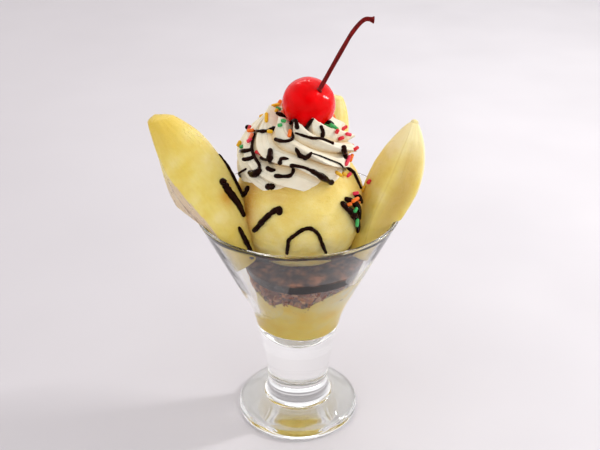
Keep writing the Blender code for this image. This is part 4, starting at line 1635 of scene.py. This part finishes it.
def tube(
    strokes: Sequence[tuple[Sequence[Vector], Sequence[float]]],
    material: Material,
    sides: int,
    name: str,
) -> Mesh:
    """Sweeps round tubes along paths by Geometry Nodes.

    Args:
        strokes: Each path's points and the radius at each.
        material: What the tubes are made of.
        sides: How many sides a tube has.
        name: The tree's name.

    Returns:
        The tubes as one mesh.
    """
    points, edges, radii = [], [], []
    for path, widths in strokes:
        edges += [(len(points) + step, len(points) + step + 1) for step in range(len(path) - 1)]
        points += [tuple(point) for point in path]
        radii += list(widths)
    lines = bpy.data.meshes.new("lines")
    lines.from_pydata(points, edges, [])
    paint(lines, "thickness", radii)
    recipe = Recipe(name, {"Sides": ("NodeSocketInt", sides)})
    given = recipe.source.outputs
    curve = recipe.node("GeometryNodeMeshToCurve", None, {"Mesh": given["Geometry"]})
    sized = recipe.node("GeometryNodeSetCurveRadius", None, {
        "Curve": curve.outputs[0], "Radius": recipe.read("thickness", "FLOAT"),
    })
    circle = recipe.node("GeometryNodeCurvePrimitiveCircle", {"Radius": 1.0}, {"Resolution": given["Sides"]})
    swept = recipe.node("GeometryNodeCurveToMesh", {"Fill Caps": True}, {
        "Curve": sized.outputs[0], "Profile Curve": circle.outputs[0],
    })
    if "Scale" in swept.inputs:
        recipe.tree.links.new(recipe.read("thickness", "FLOAT"), swept.inputs["Scale"])
    recipe.end(swept.outputs[0], material)
    return recipe.run(lines)


@dataclass(frozen=True)
class PhotoView:
    """The photograph's camera, worked out from the circles of the rim and the foot."""

    place: Vector = Vector((0.0, -331.0, 278.0)) * MM
    pitch: float = radians(28.35)
    focal: float = 850.0
    middle: tuple[float, float] = (298.0, 225.0)
    width: float = 600.0
    sensor: float = 36.0

    def axes(self) -> tuple[Vector, Vector, Vector]:
        """Right, up and forward."""
        sine, cosine = sin(self.pitch), cos(self.pitch)
        return Vector((1, 0, 0)), Vector((0, sine, cosine)), Vector((0, cosine, -sine))

    def ray(self, across: float, down: float) -> Vector:
        """The direction through a pixel."""
        right, up, forward = self.axes()
        aside = (across - self.middle[0]) / self.focal
        below = (down - self.middle[1]) / self.focal
        return (forward + right * aside - up * below).normalized()

    def build(self) -> None:
        """Sets up the scene's camera."""
        lens = bpy.data.cameras.new("camera")
        lens.sensor_width = self.sensor
        lens.lens = self.focal * self.sensor / self.width
        lens.shift_x = (self.width / 2 - self.middle[0]) / self.width
        lens.clip_start = 0.01
        camera = stand("camera", lens)
        camera.location = self.place
        camera.rotation_euler = (pi / 2 - self.pitch, 0.0, 0.0)
        bpy.context.scene.camera = camera


class Carriers:
    """The surfaces that drizzle and strands lie on."""

    # the cream's middle in the photograph, and the steps in which a search goes there
    heart = (298.0, 150.0)
    tries = 60

    def __init__(self, view: PhotoView, items: Sequence[Object]) -> None:
        """Reads the surfaces.

        Args:
            view: The photograph's camera.
            items: The pieces that carry something.
        """
        self.view = view
        points: list[Vector] = []
        faces: list[tuple[int, ...]] = []
        for item in items:
            start = len(points)
            points += [vertex.co.copy() for vertex in item.data.vertices]
            faces += [tuple(start + index for index in face.vertices) for face in item.data.polygons]
        self.tree = BVHTree.FromPolygons(points, faces)

    def under(self, across: float, down: float) -> tuple[Vector, Vector]:
        """Finds the surface at a pixel, or at the first one from there to the cream's middle that hits.

        Args:
            across: The pixel's column.
            down: The pixel's row.

        Returns:
            The point and the normal there.
        """
        for step in range(self.tries):
            share = step / self.tries
            aim = (here + (there - here) * share for here, there in zip((across, down), self.heart))
            way = self.view.ray(*aim)
            spot, normal, _, _ = self.tree.ray_cast(self.view.place, way)
            if spot is not None:
                return spot, (normal if normal.dot(way) < 0 else -normal)
        raise ValueError(f"no surface near pixel {across}, {down}")


@dataclass(frozen=True)
class Stroke:
    """A thread of drizzle.

    Args:
        radius: Its radius in millimetres.
        places: The pixels that it passes, or azimuths in degrees and shares of the cream's height.
        start: Its width at its start, as a share of the full one.
        end: Its width at its end.
        bridge: How many steps to each side it looks for something nearer to span to.
    """

    radius: float
    places: Line
    start: float = 0.6
    end: float = 0.6
    bridge: int = 1


@dataclass
class Drizzle:
    """Chocolate syrup in threads over cream, ice cream and fruit."""

    carriers: Carriers
    swirl: CreamSwirl
    step: float = 1.4
    sink: float = 0.25
    strokes: tuple[Stroke, ...] = tuple(Stroke(*row) for row in (
        # on the left banana
        (0.8, (
            (219, 155), (225, 163), (231, 173), (237, 185), (241, 193), (243, 196), (246, 193), (248, 188.5),
        ), 0.5, 1.5, 2),
        (1.55, ((222.5, 182), (225, 186), (228, 191), (237, 203), (243, 215)), 1.0, 0.55),
        (1.05, ((239, 228), (244, 238), (249, 248), (252, 256)), 0.6, 0.9),
        # on the ball
        (1.2, (
            (255, 230), (258, 227), (262, 222), (268, 216), (273, 212), (279, 208.5), (279.5, 212),
        ), 0.9, 1.2),
        (0.85, (
            (287, 253), (288, 246), (289, 240), (295, 235), (303, 229.5), (311, 228.5), (318, 234),
            (321, 241), (325.5, 252),
        ), 0.9, 0.9),
        (1.5, ((342, 203), (346, 208), (350, 211), (354, 216), (357, 223), (357, 231)), 0.7, 0.5, 4),
        (1.3, ((346, 199), (351, 201), (356, 205), (358.5, 211), (358, 218)), 0.8, 0.8, 4),
        (1.0, ((354, 194), (359, 197), (361, 202)), 0.8, 0.8, 4),
        # on the cream
        (0.75, ((255.5, 131), (262, 131.5), (268, 131), (273.5, 129)), 0.9, 1.5),
        (0.7, ((276, 139.5), (281, 141), (288, 141), (293.5, 138), (291, 130)), 1.2, 0.6),
        (0.62, ((295.5, 133), (303, 135.5), (312, 138), (322, 139), (332, 143.5)), 0.6, 1.2),
        (0.8, ((321, 127), (323, 132), (322, 137)), 1.0, 1.0),
        (0.9, ((277, 113.5), (282, 115.5), (287, 118)), 0.8, 1.0),
        (0.8, ((289.5, 124), (293, 121), (296, 120.5), (297, 127)), 0.6, 1.2),
        (0.9, ((306, 128), (309.5, 124), (313, 119)), 1.0, 0.4),
        (1.0, ((326, 122), (329, 122.5), (332, 124)), 0.8, 0.8),
        (0.7, ((254.5, 134), (252.5, 142), (252, 150), (255, 158), (259.5, 165), (259, 170)), 0.7, 1.0),
        (1.7, ((251, 173), (255, 174.5), (259.5, 171)), 0.7, 0.7),
        (0.85, ((241, 151.5), (246, 151), (250.5, 150)), 1.0, 1.0),
        (0.85, ((244, 159.5), (249, 159), (254, 157)), 1.0, 0.9),
        (0.7, ((261, 158), (264, 159.5), (268, 159)), 0.9, 0.9),
        (1.3, ((270.5, 151), (270, 157), (270.3, 163)), 0.9, 0.7),
        (0.8, ((280, 163), (280.5, 160), (282, 158.5), (288, 159)), 1.2, 0.4),
        (1.0, ((268, 168.7), (271, 170.4), (274.3, 170.4)), 1.0, 0.6),
        (0.75, (
            (276, 176), (283, 176.3), (290, 176), (293, 172), (293, 168), (291, 165.5), (298, 166.5),
            (305, 168), (311, 171),
        ), 1.2, 0.8),
        (1.25, ((309, 170), (315, 173), (325, 179), (331, 183)), 0.5, 0.9),
        (0.9, ((296, 148), (298, 152), (300, 155)), 0.4, 1.3),
        (1.15, ((300, 155), (304, 157), (307, 157), (311, 153.5)), 0.9, 0.5),
        (0.34, ((311, 153), (320, 156), (330, 160), (340, 164), (345, 170)), 0.8, 1.5),
        (1.4, ((268.6, 186.5), (270.5, 186.7), (272.4, 186.5)), 0.9, 0.9),
        (1.15, ((343.5, 148), (344.5, 153), (345, 158)), 1.0, 0.7),
        (0.75, ((347, 168), (353, 172), (356, 178), (360.5, 188)), 1.2, 0.7, 3),
        (0.55, ((237.5, 178), (238, 174.5), (241, 172), (246, 169)), 0.8, 0.8, 3),
    ))
    # on the cream's far side, by azimuth in degrees and share of its height
    behind: tuple[Stroke, ...] = tuple(Stroke(*row) for row in (
        (0.8, ((60, 0.92), (75, 0.80), (95, 0.86), (112, 0.70)), 0.8, 1.1),
        (0.7, ((100, 0.55), (118, 0.60), (135, 0.48)), 1.1, 0.7),
        (0.9, ((40, 0.62), (58, 0.50), (76, 0.56)), 0.8, 1.0),
        (0.75, ((82, 0.34), (98, 0.42), (116, 0.30), (132, 0.34)), 1.0, 0.8),
        (1.1, ((148, 0.72), (158, 0.60), (164, 0.62)), 0.8, 0.8),
        (1.0, ((24, 0.34), (36, 0.26), (46, 0.28)), 0.7, 0.9),
    ))

    def far_path(self, stroke: Stroke) -> Spots:
        """Lays a stroke round the cream's far side, over the creases.

        Args:
            stroke: The stroke, by azimuths and shares.

        Returns:
            Points of the surface with their normals.
        """
        knots = smooth_path([(azimuth, share, 0.0) for azimuth, share in stroke.places], 6)
        spots = [self.swirl.seat(radians(knot.x), knot.y) for knot in knots]
        reaches = [(spot - self.swirl.axis).xy.length for spot, _ in spots]
        laid = []
        for index, (knot, (spot, normal)) in enumerate(zip(knots, spots)):
            reach = max(reaches[max(0, index - 3):index + 4])
            laid.append((turn(reach, radians(knot.x), spot.z, self.swirl.axis), normal))
        return laid

    def near_path(self, stroke: Stroke) -> Spots:
        """Lays a stroke on what the photograph shows under it, in even steps.

        Args:
            stroke: The stroke, by pixels.

        Returns:
            Points of the surface with their normals.
        """
        knots = smooth_path([(across, down, 0.0) for across, down in stroke.places], 6)
        length = sum((after - before).length for before, after in zip(knots, knots[1:]))
        count = max(5, round(length / self.step))
        spots = []
        for index in range(count + 1):
            place = index / count * (len(knots) - 1)
            low = min(int(place), len(knots) - 2)
            pixel = knots[low].lerp(knots[low + 1], place - low)
            spots.append(self.carriers.under(pixel.x, pixel.y))
        return self.bridged(spots, stroke.bridge)

    def paths(self) -> list[tuple[list[Vector], list[float]]]:
        """Lays each stroke on what carries it."""
        laid = []
        for strokes, path in ((self.behind, self.far_path), (self.strokes, self.near_path)):
            laid += [self.thread(path(stroke), stroke, number) for number, stroke in enumerate(strokes)]
        return laid

    def bridged(self, spots: Spots, reach: int) -> Spots:
        """Lets a thread span the dips between what it lies on.

        Args:
            spots: Points of the surface with their normals.
            reach: How many steps it looks to each side for something nearer.

        Returns:
            The points, moved towards the camera where something nearer stands beside them.
        """
        eye = self.carriers.view.place
        depths = [(spot - eye).length for spot, _ in spots]
        moved = []
        for index, (spot, normal) in enumerate(spots):
            near = min(depths[max(0, index - reach):index + reach + 1])
            moved.append((eye + (spot - eye).normalized() * near, normal))
        return moved

    def thread(self, spots: Spots, stroke: Stroke, number: int) -> tuple[list[Vector], list[float]]:
        """A thread over spots: eased where it bridges folds, uneven in width, round at its ends.

        Args:
            spots: Points of the surface with their normals.
            stroke: The stroke.
            number: Its number, which seeds its unevenness.

        Returns:
            The thread's points and the radius at each.
        """
        path = [spot for spot, _ in spots]
        for _ in range(2):
            middle = [(path[i - 1] + 2 * path[i] + path[i + 1]) / 4 for i in range(1, len(path) - 1)]
            path = [path[0], *middle, path[-1]]
        path = [point + normal * (stroke.radius * MM * self.sink) for point, (_, normal) in zip(path, spots)]
        radii = []
        last = len(path) - 1
        for index in range(len(path)):
            along = index / last
            width = stroke.start + (stroke.end - stroke.start) * along
            width = 1 + (width - 1) * (2 * abs(along - 0.5)) ** 2
            uneven = 1 + 0.34 * noise.noise(Vector((along * last * 0.42, number * 3.7, 0)))
            radii.append(stroke.radius * MM * width * uneven)
        first_way = (path[0] - path[1]).normalized()
        last_way = (path[-1] - path[-2]).normalized()
        caps = ((0.55, 0.84), (0.85, 0.53), (0.98, 0.2))
        lead = [(path[0] + first_way * radii[0] * out, radii[0] * thin) for out, thin in caps]
        tail = [(path[-1] + last_way * radii[-1] * out, radii[-1] * thin) for out, thin in caps]
        points = [point for point, _ in reversed(lead)] + path + [point for point, _ in tail]
        widths = [width for _, width in reversed(lead)] + radii + [width for _, width in tail]
        return points, widths

    def build(self) -> Object:
        """Makes all threads as one piece."""
        mesh = tube(self.paths(), DrizzledChocolate().build(), 12, "drizzle_tube")
        return piece("chocolate_drizzle", mesh, None)


@dataclass(frozen=True)
class Strand:
    """A sugar strand at a pixel of the photograph: its tilt in degrees there, colour and length in mm."""

    across: float
    down: float
    tilt: float
    colour: Sugar
    length: float = 3.6


@dataclass
class SugarStrands:
    """Sugar strands caught in the cream and the drizzle."""

    carriers: Carriers
    swirl: CreamSwirl
    radius: float = 0.78 * MM
    seed: int = 7
    behind: int = 26
    usual_length: float = 3.6
    placed: tuple[Strand, ...] = tuple(Strand(*row) for row in (
        (267, 118, 88, Sugar.YELLOW, 4.6), (275, 105.5, 14, Sugar.YELLOW, 4.0),
        (279.5, 101.5, 60, Sugar.ORANGE, 2.6), (278.5, 109.5, -20, Sugar.GREEN, 2.4),
        (276.5, 111, 60, Sugar.YELLOW, 2.0), (283.8, 113.5, -35, Sugar.SALMON, 2.8),
        (280.2, 125.6, 10, Sugar.GREEN, 2.0), (289.2, 134, 80, Sugar.ORANGE, 3.8),
        (248.5, 128, 70, Sugar.RED, 3.2), (251, 131.2, 5, Sugar.ORANGE, 3.2),
        (251.5, 137, 62, Sugar.SALMON, 3.2), (250, 141, 40, Sugar.PINK, 2.6),
        (270, 131, -8, Sugar.YELLOW, 2.4), (239.8, 144.3, 62, Sugar.YELLOW, 3.0),
        (242.7, 147.4, 20, Sugar.GREEN, 2.2), (258.5, 153.5, -22, Sugar.RED, 3.0),
        (328, 125.5, -22, Sugar.GREEN, 3.4), (334, 128, -40, Sugar.GREEN, 3.6),
        (331.5, 124.5, -30, Sugar.GREEN, 2.6), (282.5, 121.5, -10, Sugar.GREEN, 2.2),
        (342.5, 128.5, 36, Sugar.RED, 4.0), (347.5, 134.2, -12, Sugar.PINK, 2.8),
        (340.3, 138.0, 20, Sugar.RED, 2.8), (336.5, 131.5, 60, Sugar.RED, 2.2),
        (354.8, 149.2, 35, Sugar.RED, 2.8), (346.5, 160.5, 68, Sugar.PINK, 5.4),
        (337.5, 173.5, -35, Sugar.YELLOW, 3.6), (351.8, 158.5, 70, Sugar.ORANGE, 4.0),
        (347.8, 175.2, 40, Sugar.PINK, 2.8), (343.3, 174.6, -30, Sugar.YELLOW, 2.4),
        (369.8, 182, 50, Sugar.RED, 2.4), (363.5, 189.5, 55, Sugar.YELLOW, 3.4),
        (356, 193.8, 12, Sugar.PINK, 2.8), (354.5, 200.5, 32, Sugar.ORANGE, 4.0),
        (358.5, 200.8, 52, Sugar.ORANGE, 3.6), (349.5, 203, 20, Sugar.ORANGE, 2.6),
        (354.4, 210.5, 60, Sugar.GREEN, 2.6), (357, 221.8, 84, Sugar.GREEN, 3.8),
    ))

    def front(self) -> list[tuple[Vector, Vector, Sugar, float]]:
        """Lays each strand that the photograph shows on what carries it."""
        right, up, _ = self.carriers.view.axes()
        laid = []
        for strand in self.placed:
            spot, normal = self.carriers.under(strand.across, strand.down)
            tilt = radians(strand.tilt)
            way = right * cos(tilt) + up * sin(tilt)
            sight = (spot - self.carriers.view.place).normalized()
            lean = min(0.45, max(-0.45, -way.dot(normal) / sight.dot(normal)))
            way = (way + sight * lean).normalized()
            lift = normal * (0.75 * self.radius) - sight * (0.6 * self.radius)
            laid.append((spot + lift, way, strand.colour, strand.length))
        return laid

    def back(self) -> list[tuple[Vector, Vector, Sugar, float]]:
        """Spreads strands over the cream's far side by the golden angle."""
        draw = random.Random(self.seed)
        colours = list(Sugar)
        laid = []
        for number in range(self.behind * 3):
            azimuth = number * pi * (3 - sqrt(5)) + draw.uniform(-0.2, 0.2)
            share = 0.15 + 0.8 * (number + 0.5) / (self.behind * 3)
            turned = draw.uniform(0, pi)
            colour = draw.choice(colours)
            length = draw.uniform(2.4, 4.6)
            if sin(azimuth) < 0.15:
                continue
            spot, normal = self.swirl.seat(azimuth, share)
            way = Vector((0, 0, 1)).cross(normal).normalized()
            way.rotate(Matrix.Rotation(turned, 3, normal))
            laid.append((spot + normal * (0.6 * self.radius), way, colour, length))
        return laid

    def build(self) -> Object:
        """Makes the strands by Geometry Nodes: a capsule on each point, along its direction."""
        laid = self.front() + self.back()
        points = bpy.data.meshes.new("strand_points")
        points.from_pydata([tuple(spot) for spot, _, _, _ in laid], [], [])
        ways = points.attributes.new("way", "FLOAT_VECTOR", "POINT")
        ways.data.foreach_set("vector", [part for _, way, _, _ in laid for part in way])
        tints = points.attributes.new("tint", "FLOAT_COLOR", "POINT")
        tints.data.foreach_set("color", [part for _, _, colour, _ in laid for part in linear(colour.value)])
        paint(points, "stretch", (length / self.usual_length for _, _, _, length in laid))
        recipe = Recipe("strand_scatter", {
            "Radius": ("NodeSocketFloat", self.radius),
            "Half Length": ("NodeSocketFloat", self.usual_length / 2 * MM - self.radius),
        })
        given = recipe.source.outputs
        detail = {"Segments": 12, "Rings": 10}
        ball = recipe.node("GeometryNodeMeshUVSphere", detail, {"Radius": given["Radius"]})
        place = recipe.node("GeometryNodeInputPosition")
        split = recipe.node("ShaderNodeSeparateXYZ", None, {0: place.outputs[0]})
        side = recipe.node("ShaderNodeMath", {"operation": "SIGN"}, {0: split.outputs[2]})
        shift = recipe.node("ShaderNodeMath", {"operation": "MULTIPLY"}, {
            0: side.outputs[0], 1: given["Half Length"],
        })
        offset = recipe.node("ShaderNodeCombineXYZ", None, {2: shift.outputs[0]})
        capsule = recipe.node("GeometryNodeSetPosition", None, {
            "Geometry": ball.outputs["Mesh"], "Offset": offset.outputs[0],
        })
        aligned = recipe.node("FunctionNodeAlignRotationToVector", {"axis": "Z"}, {
            "Vector": recipe.read("way", "FLOAT_VECTOR"),
        })
        scale = recipe.node("ShaderNodeCombineXYZ", {0: 1.0, 1: 1.0}, {2: recipe.read("stretch", "FLOAT")})
        spread = recipe.node("GeometryNodeInstanceOnPoints", None, {
            "Points": given["Geometry"], "Instance": capsule.outputs[0],
            "Rotation": aligned.outputs[0], "Scale": scale.outputs[0],
        })
        recipe.end(spread.outputs[0], SugarShell().build())
        return piece("sugar_strands", recipe.run(points), None)


@dataclass(frozen=True)
class SoftLamp:
    """A soft rectangular lamp that hangs at a place and looks at its aim."""

    name: str
    place: tuple[float, float, float]
    width: float
    length: float
    watts: float
    aim: tuple[float, float, float] = (0.0, 0.0, 0.1)

    def build(self) -> None:
        """Hangs the lamp."""
        light = bpy.data.lights.new(self.name, "AREA")
        light.shape = "RECTANGLE"
        light.size = self.width
        light.size_y = self.length
        light.energy = self.watts
        item = stand(self.name, light)
        item.location = self.place
        item.rotation_euler = (Vector(self.aim) - Vector(self.place)).to_track_quat("-Z", "Y").to_euler()


@dataclass
class Studio:
    """The plain pale table and the soft light, with a darker low far wall and someone looking on."""

    table_half: float = 3.0
    table_level: float = -0.1 * MM
    lamps: tuple[SoftLamp, ...] = (
        SoftLamp("overhead_softbox", (0.15, -0.15, 1.0), 0.8, 0.8, 0.4),
        SoftLamp("window_right", (0.74, 0.24, 0.60), 0.035, 0.35, 3.8),
        SoftLamp("rear_strip", (-0.10, 0.75, 0.95), 0.8, 0.12, 2.2),
    )
    near_sky: tuple[tuple[float, str], ...] = ((0.0, "#FFFFFF"), (0.5, "#F8F7F6"), (1.0, "#AEACAE"))
    far_sky: tuple[tuple[float, str], ...] = (
        (0.0, "#CAC6C8"), (0.03, "#8A8688"), (0.11, "#8E8A8C"), (0.20, "#E6E4E6"), (1.0, "#AEACAE"),
    )
    sky_strength: float = 1.44
    onlooker: tuple[float, float, float] = (0.0, -0.80, 0.60)
    onlooker_colour: str = "#3C3A3B"

    def build(self) -> None:
        """Makes the table, the lamps and the sky."""
        half = self.table_half
        mesh = bpy.data.meshes.new("table")
        spots = [(-half, -half), (half, -half), (half, half), (-half, half)]
        mesh.from_pydata([(*spot, self.table_level) for spot in spots], [], [(0, 1, 2, 3)])
        mesh.materials.append(TableTop().build())
        stand("table", mesh)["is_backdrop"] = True
        for lamp in self.lamps:
            lamp.build()
        self.sky()

    def sky(self) -> None:
        """Lights the scene from all round, but for the far wall's low part and whoever looks on."""
        world = bpy.data.worlds.new("studio")
        bpy.context.scene.world = world
        world.use_nodes = True
        tree = world.node_tree
        background = tree.nodes["Background"]
        where = add_node(tree, "ShaderNodeTexCoord").outputs["Generated"]
        parts = add_node(tree, "ShaderNodeSeparateXYZ", None, {0: where}).outputs
        near, far = (
            add_node(tree, "ShaderNodeValToRGB", {"stops": stops}, {"Fac": parts[2]}).outputs[0]
            for stops in (self.near_sky, self.far_sky)
        )
        behind = {"From Min": -0.2, "From Max": 0.1}
        share = add_node(tree, "ShaderNodeMapRange", behind, {"Value": parts[1]})
        around = add_node(tree, "ShaderNodeMix", {"data_type": "RGBA"}, {
            0: share.outputs["Result"], 6: near, 7: far,
        })
        towards = {"operation": "DOT_PRODUCT", 1: self.onlooker}
        toward = add_node(tree, "ShaderNodeVectorMath", towards, {0: where})
        lobe = {"From Min": 0.91, "From Max": 0.97}
        dark = add_node(tree, "ShaderNodeMapRange", lobe, {"Value": toward.outputs["Value"]})
        both = add_node(tree, "ShaderNodeMix", {"data_type": "RGBA", 7: linear(self.onlooker_colour)}, {
            0: dark.outputs["Result"], 6: around.outputs[2],
        })
        tree.links.new(both.outputs[2], background.inputs["Color"])
        background.inputs["Strength"].default_value = self.sky_strength


BANANAS = (
    BananaPiece(
        "banana_length_left", "banana_left",
        spine=((-24.5, -18.5, 91), (-32, -14, 108), (-41, -8, 121), (-50, -3, 136), (-58.5, 0, 150)),
        facing=(-0.86, -0.32, -0.42), facing_foot=(-0.68, -0.60, -0.42), girth=15.0, flat=0.64,
        tip=0.46, foot=0.48, slant=3.6, bulge=0.2, angular=0.15, cut_end=0.66, ripeness=0.7,
        facet_shading=(0.0, -0.3, 0.0, 0.0, 0.1), spots=((0.36, 104, 0.05), (0.42, 118, 0.03)),
        juice=(0.83, 140, 0.10),
    ),
    BananaPiece(
        "banana_length_right", "banana_right",
        spine=((29, -13.5, 91.5), (34.5, -7.5, 108), (41.5, -3, 123), (46, 1, 135), (49, 4, 146)),
        facing=(0.50, 0.80, -0.25), girth=11.2, flat=0.62, tip=0.15, foot=0.60,
        roll=-27, angular=0.8, paleness=0.6, facet_shading=(0.35, 0.75, -0.5, 0.2, -0.7),
    ),
    BananaPiece(
        "banana_length_back", "banana_back",
        spine=((6, 24, 93), (9.5, 32.5, 109), (12.5, 36, 122), (15.5, 38, 134), (17.5, 38.5, 144.5)),
        facing=(0.2, 0.95, -0.3), girth=9.8, flat=0.62, tip=0.34, foot=0.45, angular=0.4,
    ),
)


def corners(box: Sequence[Sequence[float]]) -> list[list[float]]:
    """A box's corners as plain lists."""
    return [[float(part) for part in corner] for corner in box]


def write_sizes() -> None:
    """Works out the CAD model's box and the visual model's box, and keeps neither."""
    {"cad": corners(CAD_BOX), "visual": corners(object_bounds())}


def set_light_paths() -> None:
    """Shows colours plainly, and lets light pass through glass as often as it needs."""
    scene = bpy.context.scene
    scene.view_settings.view_transform = "Standard"
    scene.cycles.max_bounces = 24
    scene.cycles.transmission_bounces = 20
    scene.cycles.glossy_bounces = 12
    scene.cycles.diffuse_bounces = 9


def main() -> None:
    """Builds the parfait's pieces in order."""
    set_light_paths()
    view = PhotoView()
    view.build()
    Studio().build()
    vessel = GlassVessel()
    vessel.build()
    fillings = Fillings(vessel)
    fillings.build_custard()
    fillings.build_flakes()
    fillings.build_sauce()
    scoop = IceCreamBall()
    ball = scoop.build()
    flesh = BananaFlesh().build()
    fruit = [banana.build(vessel, flesh) for banana in BANANAS]
    swirl = CreamSwirl()
    cream = swirl.build(scoop)
    cherry = Cherry()
    cherry.build_fruit()
    cherry.build_stalk()
    carriers = Carriers(view, [ball, cream, *fruit])
    drizzle = Drizzle(carriers, swirl).build()
    SugarStrands(Carriers(view, [ball, cream, drizzle, *fruit]), swirl).build()
    write_sizes()


if __name__ == "__main__":
    main()
